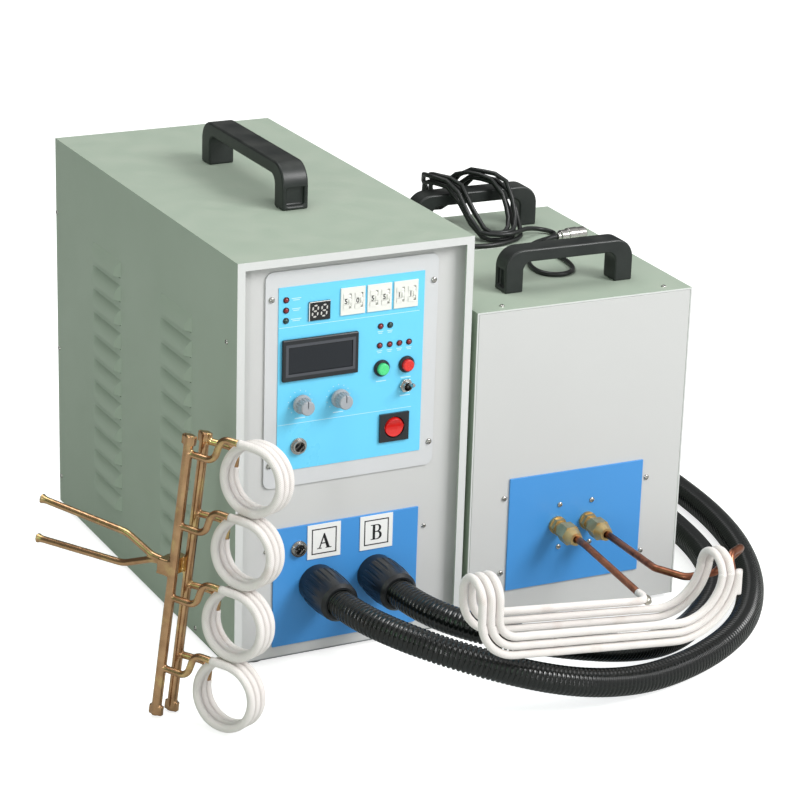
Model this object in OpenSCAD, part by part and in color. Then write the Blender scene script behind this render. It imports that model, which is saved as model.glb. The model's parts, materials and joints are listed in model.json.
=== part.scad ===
// Induction heater: power cabinet, output transformer cabinet, two ribbed hoses,
// a wound saddle coil on its flare unions, a spare four-ring coil and a stowed lead.
// Origin: centre of the power cabinet's foot plane. X right, Y to the back, Z up.

/* [Power cabinet] */
// Width of the power cabinet
main_w = 250; // [245:1:262]
// Depth of the power cabinet
main_d = 487; // [470:1:520]
// Height of the power cabinet above its feet
main_h = 419; // [412:1:450]
// Height of the rubber feet of both cabinets
foot_h = 5; // [3:0.5:10]
// Diameter of a rubber foot
foot_dia = 26; // [20:1:34]
// Inset of each foot's centre from the cabinet's sides
foot_in = 34; // [26:1:50]
// Thickness of the cover sheet
sheet = 2; // [1.5:0.1:3]
// Thickness of the base tray
tray_t = 3; // [2:0.5:5]
// Depth that the front panel is set back
recess = 15; // [12:0.5:18]
// Thickness of the front and rear panels
panel_t = 3; // [2:0.5:4]
// Width of the folded flange round the front opening
lip_w = 8; // [5:0.5:12]

/* [Louvres] */
// Number of louvres in a column
louvre_n = 11; // [6:1:12]
// Spacing of the louvres
louvre_pitch = 26; // [23:0.5:27]
// Length of a louvre
louvre_len = 79; // [60:1:90]
// Height of a louvre
louvre_h = 17; // [13:0.5:20]
// Stand-out of a louvre's lip
louvre_out = 5; // [4:0.25:7]
// Length of a louvre's sloped end
louvre_end = 9; // [6:0.5:14]
// Height of the lowest louvre's lip above the cabinet's bottom
louvre_z = 58; // [50:1:70]
// Distance of the front louvre column's middle from the cabinet's front
louvre_front_y = 148.5; // [130:0.5:170]
// Distance of the rear louvre column's middle from the cabinet's front
louvre_rear_y = 336.5; // [310:0.5:350]

/* [Carrying handles] */
// Length of the power cabinet's handle
handle_len = 205; // [180:1:230]
// Width of the power cabinet's handle
handle_w = 28; // [22:1:34]
// Height of the power cabinet's handle
handle_h = 46; // [42:1:56]
// Thickness of the power cabinet's hand bar
handle_bar = 14; // [11:0.5:17]
// Length of the power cabinet's handle feet
handle_foot = 21; // [17:0.5:27]
// Outer corner radius of the power cabinet's handle
handle_r = 22; // [18:0.5:24]
// Distance of the handle's front end from the cabinet's front
handle_y = 143; // [120:1:160]
// Length of a transformer handle
grip_len = 145; // [130:1:165]
// Width of a transformer handle
grip_w = 24; // [20:1:30]
// Height of a transformer handle
grip_h = 44; // [40:1:52]
// Thickness of a transformer hand bar
grip_bar = 13; // [10:0.5:16]
// Length of a transformer handle's feet
grip_foot = 20; // [16:0.5:25]
// Outer corner radius of a transformer handle
grip_r = 20; // [16:0.5:22]

/* [Control plate] */
// Width of the control plate's frame
plate_w = 183.5; // [182:0.5:190]
// Height of the control plate's frame
plate_h = 219; // [217:0.5:222]
// Height of the control plate's lower edge above the cabinet's bottom
plate_z = 184; // [182:0.5:186]
// Thickness of the control plate's frame
plate_t = 2; // [1.5:0.25:3]
// Corner radius of the control plate's frame
plate_r = 8; // [4:0.5:12]
// Width of the printed control panel
window_w = 155; // [154:0.5:160]
// Height of the printed control panel
window_h = 186; // [185:0.5:189]
// Stand-out of the printed control panel
window_t = 0.8; // [0.5:0.1:1.5]
// Width of the meter's bezel
meter_w = 80; // [76:0.5:84]
// Height of the meter's bezel
meter_h = 42; // [40:0.5:44]
// Stand-out of the meter's bezel
meter_out = 3.5; // [2.5:0.25:6]
// Width of the meter's window
lens_w = 68; // [60:0.5:72]
// Height of the meter's window
lens_h = 27; // [22:0.5:32]
// Width of the two-digit display
digit_w = 22.5; // [20:0.5:26]
// Height of the two-digit display
digit_h = 19; // [16:0.5:21]
// Stand-out of the two-digit display
digit_out = 1.6; // [1:0.1:3]
// Diameter of an indicator lamp
led_dia = 5; // [4:0.25:6]
// Number of finely lit rows of lamps at the left
led_rows = 3; // [2:1:3]

/* [Digit wheels] */
// Width of a digit switch block
wheel_box_w = 26; // [24:0.25:27]
// Height of a digit switch block
wheel_box_h = 27.4; // [25:0.2:29]
// Depth of a digit switch block behind the panel
wheel_box_deep = 24; // [22:0.5:30]
// Radius of a digit wheel's thumb rim
wheel_r = 10.5; // [9:0.25:11]
// Width of a digit wheel
wheel_w = 8; // [7:0.25:8.5]
// Height of a digit wheel's window
wheel_slot_h = 15; // [12:0.5:17]
// Spacing of the digit switch blocks
wheel_pitch = 28.5; // [27.5:0.25:30]

/* [Buttons, knobs and switches] */
// Diameter of a push button's bezel
button_bezel = 17; // [15:0.5:19]
// Diameter of a push button's cap
button_dia = 12; // [10:0.25:13]
// Stroke of a push button
button_stroke = 2.5; // [1.5:0.25:3.5]
// Stand-out of a push button's cap
button_out = 7; // [6:0.25:9]
// Diameter of a knob
knob_dia = 19; // [15:0.5:21]
// Height of a knob
knob_h = 15; // [12:0.5:18]
// Diameter of a knob's shaft
shaft_dia = 6; // [5:0.25:7]
// Length of the toggle's bat
bat_len = 13; // [10:0.5:17]
// Swing of the toggle's bat each way
bat_swing = 14; // [10:1:16]
// Width of the power switch's frame
power_w = 31.5; // [28:0.5:34]
// Height of the power switch's frame
power_h = 29; // [26:0.5:32]
// Diameter of the power switch's rocker
rocker_dia = 20; // [16:0.5:21]
// Tilt of the power switch's rocker each way
rocker_tilt = 8; // [5:1:10]
// Diameter of a round signal socket
socket_dia = 17; // [14:0.5:19]

/* [Outlet plate and hose glands] */
// Width of the outlet plate
outlet_w = 158; // [150:0.5:170]
// Height of the outlet plate
outlet_h = 125.5; // [118:0.5:130]
// Height of the outlet plate's lower edge above the cabinet's bottom
outlet_z = 14.5; // [12:0.5:20]
// Thickness of both blue plates
outlet_t = 2; // [1.5:0.25:3]
// Spacing of the two front hose glands
gland_pitch = 64; // [64:0.5:64]
// Outer diameter of a hose gland's nut
gland_dia = 43; // [40:0.5:46]
// Stand-out of a front hose gland
gland_out = 54.5; // [48:0.5:60]
// Number of flutes round a gland's nut
gland_flutes = 20; // [12:1:24]
// Outer diameter of the ribbed hoses
hose_dia = 28.5; // [27:0.25:29.5]
// Bore of the ribbed hoses
hose_bore = 23; // [20:0.25:24]
// Depth of the hoses' ribs
rib_deep = 1.8; // [1:0.1:2]
// Number of ribs on each hose
rib_n = 50; // [30:1:80]
// Width of a port tag
tag_w = 36; // [30:0.5:38]
// Thickness of a port tag
tag_t = 1; // [0.6:0.1:1.6]

/* [Rear of the power cabinet] */
// Width of the cooling fan
fan_w = 120; // [110:1:126]
// Depth of the cooling fan
fan_deep = 38; // [25:0.5:40]
// Diameter of the fan's hub
fan_hub = 44; // [36:1:50]
// Number of the fan's blades
fan_blades = 7; // [5:1:9]
// Height of the fan's middle above the cabinet's bottom
fan_z = 300; // [290:1:320]
// Diameter of the cooling water spigots
spigot_dia = 12; // [9:0.5:14]
// Diameter of the supply cable's gland
supply_gland = 28; // [24:0.5:34]

/* [Transformer cabinet] */
// Width of the transformer cabinet
unit_w = 244; // [236:1:252]
// Depth of the transformer cabinet
unit_d = 313; // [306:1:320]
// Height of the transformer cabinet above its feet
unit_h = 338; // [325:1:360]
// Gap between the two cabinets' fronts
units_gap = 7.9; // [5:0.1:14]
// Setback of the transformer cabinet's front
unit_back = 2.7; // [0:0.1:8]
// Turn of the transformer cabinet on the bench
unit_yaw = -1.67; // [-3:0.01:0]
// Width of the terminal plate
term_w = 153.8; // [145:0.2:165]
// Height of the terminal plate
term_h = 122.3; // [115:0.2:130]
// Height of the terminal plate's lower edge above the cabinet's bottom
term_z = 35.2; // [30:0.2:42]
// Across the flats of a union's nut
union_af = 19; // [17:0.5:22]
// Length of a flare union in front of the plate
union_len = 42; // [38:0.5:48]
// Height of the unions above the cabinet's bottom
union_z = 100; // [94:0.5:106]
// Spacing of the unions
union_pitch = 35; // [30:0.5:42]

/* [Saddle coil] */
// Diameter of the coil's copper tube
tube_dia = 7.5; // [6:0.25:8]
// Diameter of the coil's sleeve
sleeve_dia = 8.2; // [8:0.1:8.3]
// Spacing of the coil's strands
strand_pitch = 9.2; // [9.1:0.1:10]
// Reach of the coil's back strands in front of the unions
coil_reach = 182.5; // [165:0.5:200]
// Width of the saddle between its front and back strands
coil_waist = 38; // [34:0.5:44]
// Distance of the coil's inner left legs from the left union
coil_left = 187.6; // [170:0.2:200]
// Distance of the coil's inner right legs from the left union
coil_right = 57.4; // [50:0.2:66]
// Height of the left arches above the floor
arch_left_z = 161; // [150:0.5:170]
// Height of the right arches above the floor
arch_right_z = 144; // [136:0.5:150]
// Height of the back strand's left end above the floor
strand_left_z = 115; // [112:0.5:118]
// Fall of a strand from its left end to its right end
strand_fall = 26; // [20:0.5:28]

/* [Spare coil] */
// Length of the spare coil's manifold tubes
mani_len = 281; // [270:1:300]
// Diameter of the spare coil's manifold tubes
mani_dia = 9.7; // [8:0.1:11]
// Spacing of the spare coil's rings
ring_pitch = 71.5; // [71:0.25:76]
// Height of the spare coil's lowest ring on its manifold
ring_z = 40.5; // [38:0.5:46]
// Mean radius of the spare coil's rings
ring_r = 31.75; // [28:0.25:32]
// Spacing of a ring's turns
turn_pitch = 9; // [9:0.1:10]
// Number of turns in a ring
turns = 2.75; // [2.75:1:3.75]
// Diameter of the sleeved ring tube
ring_tube = 8.3; // [7:0.1:8.4]
// Diameter of the spare coil's leads
lead_dia = 7; // [6:0.25:8]

/* [Stowed lead] */
// Diameter of the signal lead
cord_dia = 5; // [4.4:0.1:5.4]
// Number of loops in the stowed lead's hank
hank_n = 4; // [3:1:5]
// Length of the hank over its loops
hank_len = 118; // [100:1:124]
// Width of the hank's inner loop
hank_w = 30; // [28:1:34]
// Diameter of the signal plug
plug_dia = 15; // [13:0.25:17]
// Length of the signal plug's shell
plug_len = 24; // [20:0.5:30]

/* [Hidden] */

// Overrun of every cut past the face it opens
over = 1;
// Clearance of a shaft that turns in its bush, on the radius
run_fit = 0.05;
// Clearance of a piece that slides or swings in its frame
slip_fit = 0.3;
// Clearance of a hose in its gland, on the radius
hose_fit = 0.4;
// Clearance between fixed pieces that stand side by side
seat_gap = 0.2;
front_y = -main_d / 2;
panel_y = front_y + recess;
deck_y = panel_y - panel_t;
rear_y = main_d / 2;
top_z = foot_h + main_h;
$fn = 48;
fine_fn = 24;

// ---- shared forms ----

module round_rect(w, h, r) {
  square([w, h - r * 2], center = true);
  square([w - r * 2, h], center = true);
  for (sx = [-1, 1], sy = [-1, 1]) translate([sx * (w / 2 - r), sy * (h / 2 - r)]) circle(r);
}

// A flat piece that faces the front: drawn in x and z, its back at y, thick towards -Y
module facing(x, y, z) { translate([x, y, z]) rotate([90, 0, 0]) children(); }

module front_rod(x, y, z, r, len) { facing(x, y, z) cylinder(r = r, h = len); }

module hex(af, h) { cylinder(d = af / cos(180 / 6), h = h, $fn = 6); }

function unit(v) = v / norm(v);

// Arc of radius r that rounds the corner at p between a and b
function bend(a, p, b, r, n) = let (
  u = unit(a - p), v = unit(b - p), half = acos(u * v) / 2,
  c = p + unit(u + v) * r / sin(half), s = p + u * r / tan(half),
  e = p + v * r / tan(half), x = unit(s - c), ex = e - c,
  w = unit(ex - x * (ex * x)), turn = 180 - half * 2)
  [for (i = [0:n]) c + (x * cos(turn * i / n) + w * sin(turn * i / n)) * r];

// A polyline whose corners are rounded, each point [x, y, z, corner radius, steps]
function rounded(p) = [for (i = [0:len(p) - 1])
  let (q = [p[i][0], p[i][1], p[i][2]])
  each i == 0 || i == len(p) - 1 || p[i][3] == 0 ? [q]
    : bend([p[i - 1][0], p[i - 1][1], p[i - 1][2]], q,
        [p[i + 1][0], p[i + 1][1], p[i + 1][2]], p[i][3], p[i][4])];

// A point of a uniform cubic curve through the frame p at parameter t
function curve_at(p, t) = let (i = min(floor(t), len(p) - 4), s = t - i)
  (p[i] * pow(1 - s, 3) + p[i + 1] * (3 * pow(s, 3) - 6 * s * s + 4)
   + p[i + 2] * (3 * s * s + 3 * s + 1 - 3 * pow(s, 3)) + p[i + 3] * pow(s, 3)) / 6;

function curve(p, n) = [for (i = [0:n]) curve_at(p, (len(p) - 3) * i / n)];

function run_length(p) = [for (i = 0, s = 0; i < len(p);
  s = s + (i + 1 < len(p) ? norm(p[i + 1] - p[i]) : 0), i = i + 1) s];

// The same run with points at even steps
function even(p, n) = let (s = run_length(p), total = s[len(s) - 1],
  tx = [for (i = [0:len(p) - 1]) [s[i], p[i][0]]],
  ty = [for (i = [0:len(p) - 1]) [s[i], p[i][1]]],
  tz = [for (i = [0:len(p) - 1]) [s[i], p[i][2]]])
  [for (i = [0:n]) let (d = total * i / n) [lookup(d, tx), lookup(d, ty), lookup(d, tz)]];

function heading(p, i) = unit(p[min(i + 1, len(p) - 1)] - p[max(i - 1, 0)]);

// Side vectors that turn as little as they can along the run
function sides_of(p) = let (t0 = heading(p, 0),
  s0 = abs(t0[2]) < 0.9 ? [0, 0, 1] : [0, 1, 0])
  [for (i = 0, u = unit(s0 - t0 * (s0 * t0)); i < len(p);
    i = i + 1, u = i < len(p) ? let (t = heading(p, i)) unit(u - t * (u * t)) : u) u];

function ring_points(p, radii, n) = let (u = sides_of(p))
  [for (i = [0:len(p) - 1]) let (t = heading(p, i), v = cross(t, u[i]))
    for (k = [0:n - 1]) let (a = 360 * k / n) p[i] + (u[i] * cos(a) + v * sin(a)) * radii[i]];

function skin(rings, n, at, flip) = [for (i = [0:rings - 2], k = [0:n - 1])
  let (a = at + i * n + k, b = at + i * n + (k + 1) % n, c = a + n, d = b + n)
  each flip ? [[a, c, b], [b, c, d]] : [[a, b, c], [b, d, c]]];

function fan(n, at, flip) = [for (k = [1:n - 2])
  flip ? [at, at + k, at + k + 1] : [at, at + k + 1, at + k]];

// One unbroken solid tube along the run
module tube(p, radii, n) {
  polyhedron(points = ring_points(p, radii, n),
    faces = concat(skin(len(p), n, 0, true), fan(n, 0, true), fan(n, (len(p) - 1) * n, false)));
}

// One unbroken hollow tube: outer run and bore, with flat ring ends
module hollow_tube(p, radii, q, bore, n) {
  a = len(p) * n;
  b = (len(p) - 1) * n;
  c = a + (len(q) - 1) * n;
  polyhedron(points = concat(ring_points(p, radii, n),
      ring_points(q, [for (i = q) bore], n)),
    faces = concat(skin(len(p), n, 0, true), skin(len(q), n, a, false),
      [for (k = [0:n - 1]) let (m = (k + 1) % n) each [[k, m, a + k], [m, a + m, a + k]]],
      [for (k = [0:n - 1]) let (m = (k + 1) % n)
        each [[b + k, c + k, b + m], [b + m, c + k, c + m]]]));
}

// Least gap of a tube to itself, between points more than skip steps apart
function self_gap(p, dia, skip) = min([for (i = [0:len(p) - 1 - skip])
  min([for (j = [i + skip:len(p) - 1]) norm(p[i] - p[j])])]) - dia;

// ---- power cabinet ----

module cabinet_tray() color("gainsboro") {
  difference() {
    translate([-main_w / 2 + sheet, panel_y + seat_gap, foot_h])
      cube([main_w - sheet * 2, main_d - recess - panel_t - seat_gap, tray_t]);
    for (sx = [-1, 1], y = [front_y + foot_in, rear_y - foot_in])
      translate([sx * (main_w / 2 - foot_in), y, foot_h - over])
        cylinder(r = foot_pin, h = tray_t + over * 2);
  }
  // upturned side flanges that the cover is screwed to
  for (sx = [0, 1]) mirror([sx, 0, 0])
    translate([main_w / 2 - sheet * 2, panel_y + seat_gap, foot_h])
      cube([sheet, main_d - recess - panel_t - seat_gap, flange_h]);
}
foot_pin_share = 0.12;
// Radius of the pin that holds a rubber foot
foot_pin = foot_dia * foot_pin_share;
flange_share = 0.06;
// Height of the tray's side flanges
flange_h = main_h * flange_share;

module louvre_form(y, z, grow, low) {
  out = louvre_out - grow;
  arc_r = (pow(louvre_h - grow, 2) + out * out) / (out * 2);
  intersection() {
    translate([-main_w / 2 + arc_r - out, y, z]) rotate([90, 0, 0])
      cylinder(r = arc_r, h = louvre_len, center = true, $fn = fine_fn);
    translate([-main_w / 2, y, z - low]) linear_extrude(louvre_h + low)
      polygon([[sheet + grow * over, louvre_len / 2 - grow],
        [0, louvre_len / 2 - grow], [-out, louvre_len / 2 - louvre_end],
        [-out, louvre_end - louvre_len / 2], [0, grow - louvre_len / 2],
        [sheet + grow * over, grow - louvre_len / 2]]);
  }
}

module all_louvres(grow, low) {
  for (m = [0, 1]) mirror([m, 0, 0])
    for (i = [0:louvre_n - 1], y = [louvre_front_y, louvre_rear_y])
      louvre_form(front_y + y, foot_h + louvre_z + louvre_pitch * i, grow, low);
}
louvre_skin_share = 0.6;
// Thickness of the skin left in a louvre's hood
louvre_skin = sheet * louvre_skin_share;

module cabinet_cover() color("darkseagreen") {
  difference() {
    union() {
      difference() {
        translate([-main_w / 2, front_y, foot_h]) cube([main_w, main_d, main_h]);
        translate([-main_w / 2 + sheet, front_y - over, foot_h - over])
          cube([main_w - sheet * 2, main_d + over * 2, main_h - sheet + over]);
      }
      // folded lips in front of the recessed panel
      for (m = [0, 1]) mirror([m, 0, 0])
        translate([main_w / 2 - lip_w, front_y, foot_h + tray_t + seat_gap])
          cube([lip_w, sheet, main_h - tray_t - seat_gap]);
      translate([-main_w / 2, front_y, top_z - lip_w]) cube([main_w, sheet, lip_w]);
      all_louvres(0, 0);
    }
    all_louvres(louvre_skin, louvre_skin);
  }
}

// A bridge handle: profile in y and z, extruded over its width, with hollowed ends
module bridge_handle(len, w, h, bar, foot, r) {
  translate([-w / 2, 0, 0]) rotate([90, 0, 90]) linear_extrude(w) difference() {
    union() {
      translate([0, r]) square([len, h - r * 2]);
      translate([r, 0]) square([len - r * 2, h]);
      square([len, r]);
      for (x = [r, len - r]) translate([x, h - r]) circle(r);
    }
    translate([foot, -over]) square([len - foot * 2, h - bar - r * bend_share + over]);
    translate([foot + r * bend_share, -over]) square([len - (foot + r * bend_share) * 2, h - bar + over]);
    for (x = [foot + r * bend_share, len - foot - r * bend_share])
      translate([x, h - bar - r * bend_share]) circle(r * bend_share);
  }
}
// Inner corner of a handle as a share of its outer corner
bend_share = 0.45;

module screw_wells(len, w, foot, h, bar) {
  for (y = [foot / 2, len - foot / 2]) translate([0, y, h - bar * well_share])
    cylinder(r = foot * well_r_share, h = bar * well_share + over);
}
well_share = 0.5;
well_r_share = 0.24;

module cabinet_handle() color("#222222")
  translate([0, front_y + handle_y, top_z]) difference() {
    bridge_handle(handle_len, handle_w, handle_h, handle_bar, handle_foot, handle_r);
    for (m = [0, 1]) translate([0, handle_len * m, 0]) mirror([0, m, 0])
      translate([-handle_w / 2 + handle_wall, -over, handle_wall])
        cube([handle_w - handle_wall * 2, handle_wall + over, handle_h - handle_r - handle_wall]);
  }
handle_wall_share = 0.16;
// Wall round the hollow in a handle's end
handle_wall = handle_w * handle_wall_share;

module cabinet_feet() color("#1c1c1c")
  for (sx = [-1, 1], y = [front_y + foot_in, rear_y - foot_in])
    translate([sx * (main_w / 2 - foot_in), y, 0]) rubber_foot();

module rubber_foot() {
  rotate_extrude() polygon([[0, 0], [foot_dia * foot_low_share, 0], [foot_dia / 2, foot_h],
    [foot_pin - run_fit, foot_h], [foot_pin - run_fit, foot_h + tray_t], [0, foot_h + tray_t]]);
}
foot_low_share = 0.42;

// Places on the front, in x from the middle and z from the cabinet's bottom
plate_mid = plate_z + plate_h / 2;
window_x_share = 0.0032;
window_x = -main_w * window_x_share;
window_z_share = 0.5023;
window_z = plate_z + plate_h * window_z_share;
// Each place is a share of the printed panel's half width and half height
function on_panel(a, b) = [window_x + a * window_w / 2, window_z + b * window_h / 2];
meter_share = [-0.4387, 0.213];
digit_share = [-0.4542, 0.7129];
wheel_share = [-0.0013, 0.7725];
knob_l_share = [-0.6903, -0.2688];
knob_r_share = [-0.1665, -0.2645];
start_share = [0.4232, -0.0108];
stop_share = [0.7716, -0.0054];
toggle_share = [0.7665, -0.2366];
power_share = [0.6168, -0.686];
socket_share = [-0.7071, -0.7441];
lamp_shares = [[-0.9032, 0.8656], [-0.9032, 0.7548], [-0.9032, 0.6441], [0.3974, 0.4516],
  [0.529, 0.4516], [0.391, 0.2398], [0.5303, 0.2398], [0.6658, 0.2398], [0.8013, 0.2398]];
at_meter = on_panel(meter_share[0], meter_share[1]);
at_digits = on_panel(digit_share[0], digit_share[1]);
at_wheels = on_panel(wheel_share[0], wheel_share[1]);
at_knob_l = on_panel(knob_l_share[0], knob_l_share[1]);
at_knob_r = on_panel(knob_r_share[0], knob_r_share[1]);
at_start = on_panel(start_share[0], start_share[1]);
at_stop = on_panel(stop_share[0], stop_share[1]);
at_toggle = on_panel(toggle_share[0], toggle_share[1]);
at_power = on_panel(power_share[0], power_share[1]);
at_socket = on_panel(socket_share[0], socket_share[1]);
// Faces of the stack on the front panel, from the panel outwards
frame_y = deck_y - plate_t;
face_y = frame_y - window_t;
// Necks that pass through the panel behind each part
neck_share = 0.8;
meter_deep = meter_h;
button_deep = button_dia * 2;
neck_r = button_bezel / 2 * neck_share;
bush_share = 0.3;
bush_wall = shaft_dia * bush_share;
bush_r = shaft_dia / 2 + bush_wall;
socket_neck = socket_dia / 2 * neck_share;

module panel_holes(grow) {
  z = foot_h;
  translate([at_meter[0], at_meter[1] + z]) square([meter_w * neck_in_share, meter_h * neck_in_share]
    + [grow, grow] * 2, center = true);
  translate([at_digits[0], at_digits[1] + z])
    square([digit_w, digit_h] * neck_in_share + [grow, grow] * 2, center = true);
  for (i = [0:2]) translate([at_wheels[0] + wheel_span + (i - 0) * wheel_pitch, at_wheels[1] + z])
    square([wheel_box_w, wheel_box_h] * neck_in_share + [grow, grow] * 2, center = true);
  translate([at_power[0], at_power[1] + z])
    square([power_w, power_h] * neck_in_share + [grow, grow] * 2, center = true);
  for (p = [at_start, at_stop]) translate([p[0], p[1] + z]) circle(neck_r + grow);
  for (p = [at_knob_l, at_knob_r]) translate([p[0], p[1] + z]) circle(bush_r + grow);
  translate([at_toggle[0], at_toggle[1] + z]) circle(bush_r + grow);
  translate([at_socket[0], at_socket[1] + z]) circle(socket_neck + grow);
  for (s = lamp_shares) let (p = on_panel(s[0], s[1]))
    translate([p[0], p[1] + z]) circle(led_dia / 2 + grow);
}
neck_in_share = 0.9;
// The digit blocks run to the right from the panel's middle
wheel_span = 0;

module outlet_holes(grow) {
  for (sx = [-1, 1]) translate([sx * gland_pitch / 2, gland_z]) circle(gland_neck + grow);
  translate([port_socket[0], port_socket[1]]) circle(socket_neck + grow);
}
// Height of the gland axes, which the hose routes share
gland_z = 81;
gland_neck_share = 0.12;
gland_neck = hose_bore / 2 + hose_dia * gland_neck_share;
outlet_mid = foot_h + outlet_z + outlet_h / 2;
outlet_x_share = 0.003;
outlet_x = -main_w * outlet_x_share;
port_x_share = 0.3295;
port_z_share = 0.3108;
port_socket = [outlet_x - outlet_w * port_x_share, outlet_mid + outlet_h * port_z_share];
tag_x_share = [-0.158, 0.205];
tag_z_share = 0.347;

module cabinet_front() color("#d6d6d6")
  facing(0, panel_y, 0) linear_extrude(panel_t) difference() {
    translate([0, foot_h + tray_t + (main_h - tray_t - sheet) / 2])
      square([main_w - sheet * 2 - seat_gap * 2, main_h - sheet - tray_t - seat_gap * 2], center = true);
    panel_holes(seat_gap);
    outlet_holes(seat_gap);
  }

module control_frame() color("#c9ccce")
  facing(0, deck_y, 0) linear_extrude(plate_t) difference() {
    translate([0, foot_h + plate_mid]) round_rect(plate_w, plate_h, plate_r);
    panel_holes(seat_gap);
  }

module control_panel() color("skyblue")
  facing(0, frame_y, 0) linear_extrude(window_t) difference() {
    translate([window_x, foot_h + window_z]) square([window_w, window_h], center = true);
    panel_holes(seat_gap);
  }

// A bezel with its case passing through the panel behind it
module cased(x, z, w, h, out, deep) {
  facing(x, face_y, z + foot_h) linear_extrude(out) square([w, h], center = true);
  facing(x, face_y + deep, z + foot_h) linear_extrude(deep)
    square([w, h] * neck_in_share, center = true);
}

module meter_case() color("#202428") difference() {
  cased(at_meter[0], at_meter[1], meter_w, meter_h, meter_out, meter_deep);
  facing(at_meter[0], face_y - meter_out + lens_deep, at_meter[1] + foot_h)
    linear_extrude(lens_deep + over) square([lens_w, lens_h] + [seat_gap, seat_gap] * 2, center = true);
}
lens_deep_share = 0.7;
lens_deep = meter_out * lens_deep_share;

module meter_lens() color("#30383c")
  facing(at_meter[0], face_y - meter_out + lens_deep, at_meter[1] + foot_h)
    linear_extrude(lens_deep * lens_deep_share) square([lens_w, lens_h], center = true);

module digit_display() color("#26282a") {
  cased(at_digits[0], at_digits[1], digit_w, digit_h, digit_out, digit_h);
}

module indicator_lamps() color("firebrick")
  for (s = lamp_shares) let (p = on_panel(s[0], s[1])) {
    facing(p[0], face_y + led_dia, p[1] + foot_h) cylinder(d = led_dia, h = led_dia);
    facing(p[0], face_y, p[1] + foot_h) intersection() {
      sphere(d = led_dia);
      cylinder(d = led_dia, h = led_dia * lamp_out_share);
    }
  }
lamp_out_share = 0.4;

axle_share = 0.16;
// Digit switches: a block with two wheels on one axle
axle_r = wheel_r * axle_share;
block_out = window_t * 2;
wheel_proud_share = 0.07;
wheel_proud = wheel_r * wheel_proud_share;
axle_y = face_y - block_out + wheel_r - wheel_proud;
wheel_gap_share = 0.24;
wheel_gap = wheel_box_w * wheel_gap_share;
function wheel_x(k) = at_wheels[0] + floor(k / 2) * wheel_pitch
  + (k % 2 == 0 ? -1 : 1) * wheel_gap;

module digit_blocks() color("#e6e6e0") for (i = [0:2]) {
  x = at_wheels[0] + i * wheel_pitch;
  difference() {
    union() {
      facing(x, face_y, at_wheels[1] + foot_h) linear_extrude(block_out)
        square([wheel_box_w, wheel_box_h], center = true);
      facing(x, face_y + wheel_box_deep, at_wheels[1] + foot_h) linear_extrude(wheel_box_deep)
        square([wheel_box_w, wheel_box_h] * neck_in_share, center = true);
    }
    for (k = [i * 2, i * 2 + 1]) {
      translate([wheel_x(k), axle_y, at_wheels[1] + foot_h]) rotate([0, 90, 0])
        cylinder(r = wheel_r + slip_fit, h = wheel_w + slip_fit * 2, center = true);
      facing(wheel_x(k), axle_y, at_wheels[1] + foot_h) linear_extrude(wheel_r * 2)
        square([wheel_w + slip_fit * 2, wheel_slot_h], center = true);
    }
  }
  translate([x, axle_y, at_wheels[1] + foot_h]) rotate([0, 90, 0])
    cylinder(r = axle_r, h = wheel_gap * 2 + wheel_w + over * 2, center = true);
}

// Ten faces for the digits, with a notched thumb rim beside them
module digit_wheel(k) color("white")
  translate([wheel_x(k), axle_y, at_wheels[1] + foot_h]) rotate([0, 90, 0]) difference() {
    union() {
      cylinder(r = wheel_r * drum_share, h = wheel_w, center = true, $fn = 10);
      translate([0, 0, wheel_w / 2 - wheel_w * rim_share]) cylinder(r = wheel_r, h = wheel_w * rim_share);
    }
    cylinder(r = axle_r + run_fit, h = wheel_w + over * 2, center = true);
    for (a = [0:9]) rotate([0, 0, 360 * a / 10])
      translate([wheel_r, 0, 0]) cylinder(r = wheel_r * notch_share, h = wheel_w + over, $fn = fine_fn);
  }
drum_share = 0.94;
rim_share = 0.28;
notch_share = 0.09;

module digit_wheel_1() digit_wheel(0);
module digit_wheel_2() digit_wheel(1);
module digit_wheel_3() digit_wheel(2);
module digit_wheel_4() digit_wheel(3);
module digit_wheel_5() digit_wheel(4);
module digit_wheel_6() digit_wheel(5);

bezel_share = 0.5;
// Push buttons: a threaded bezel with a sprung cap
bezel_out = button_out * bezel_share;
stem_share = 0.16;
stem_r = button_dia * stem_share;
well_deep = button_out + button_stroke;

module button_bezels() color("#b9bcc0") for (p = [at_start, at_stop]) difference() {
  facing(p[0], face_y + button_deep, p[1] + foot_h) rotate_extrude()
    polygon([[0, 0], [neck_r, 0], [neck_r, button_deep], [button_bezel / 2, button_deep],
      [button_bezel / 2, button_deep + bezel_out * bezel_share],
      [button_dia / 2 + slip_fit + bezel_lip, button_deep + bezel_out], [0, button_deep + bezel_out]]);
  facing(p[0], face_y + well_deep, p[1] + foot_h)
    cylinder(r = button_dia / 2 + slip_fit, h = well_deep + button_out + over);
  facing(p[0], face_y + button_deep + over, p[1] + foot_h)
    cylinder(r = stem_r + run_fit, h = button_deep + over * 2);
}
bezel_lip_share = 0.05;
bezel_lip = button_bezel * bezel_lip_share;

module push_cap(p) {
  facing(p[0], face_y + well_deep - button_stroke - slip_fit, p[1] + foot_h) rotate_extrude()
    polygon([[0, 0], [button_dia / 2, 0], [button_dia / 2, cap_len - cap_round],
      [button_dia / 2 - cap_round * cap_in_share, cap_len - cap_round * cap_in_share],
      [button_dia / 2 - cap_round, cap_len], [0, cap_len - cap_round * cap_in_share]]);
  facing(p[0], face_y + button_deep - button_stroke, p[1] + foot_h)
    cylinder(r = stem_r, h = button_deep - well_deep + slip_fit + over);
}
cap_len = button_out + well_deep - button_stroke - slip_fit;
cap_round_share = 0.12;
cap_round = button_dia * cap_round_share;
cap_in_share = 0.3;

module start_button() color("seagreen") push_cap(at_start);
module stop_button() color("crimson") push_cap(at_stop);

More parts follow.
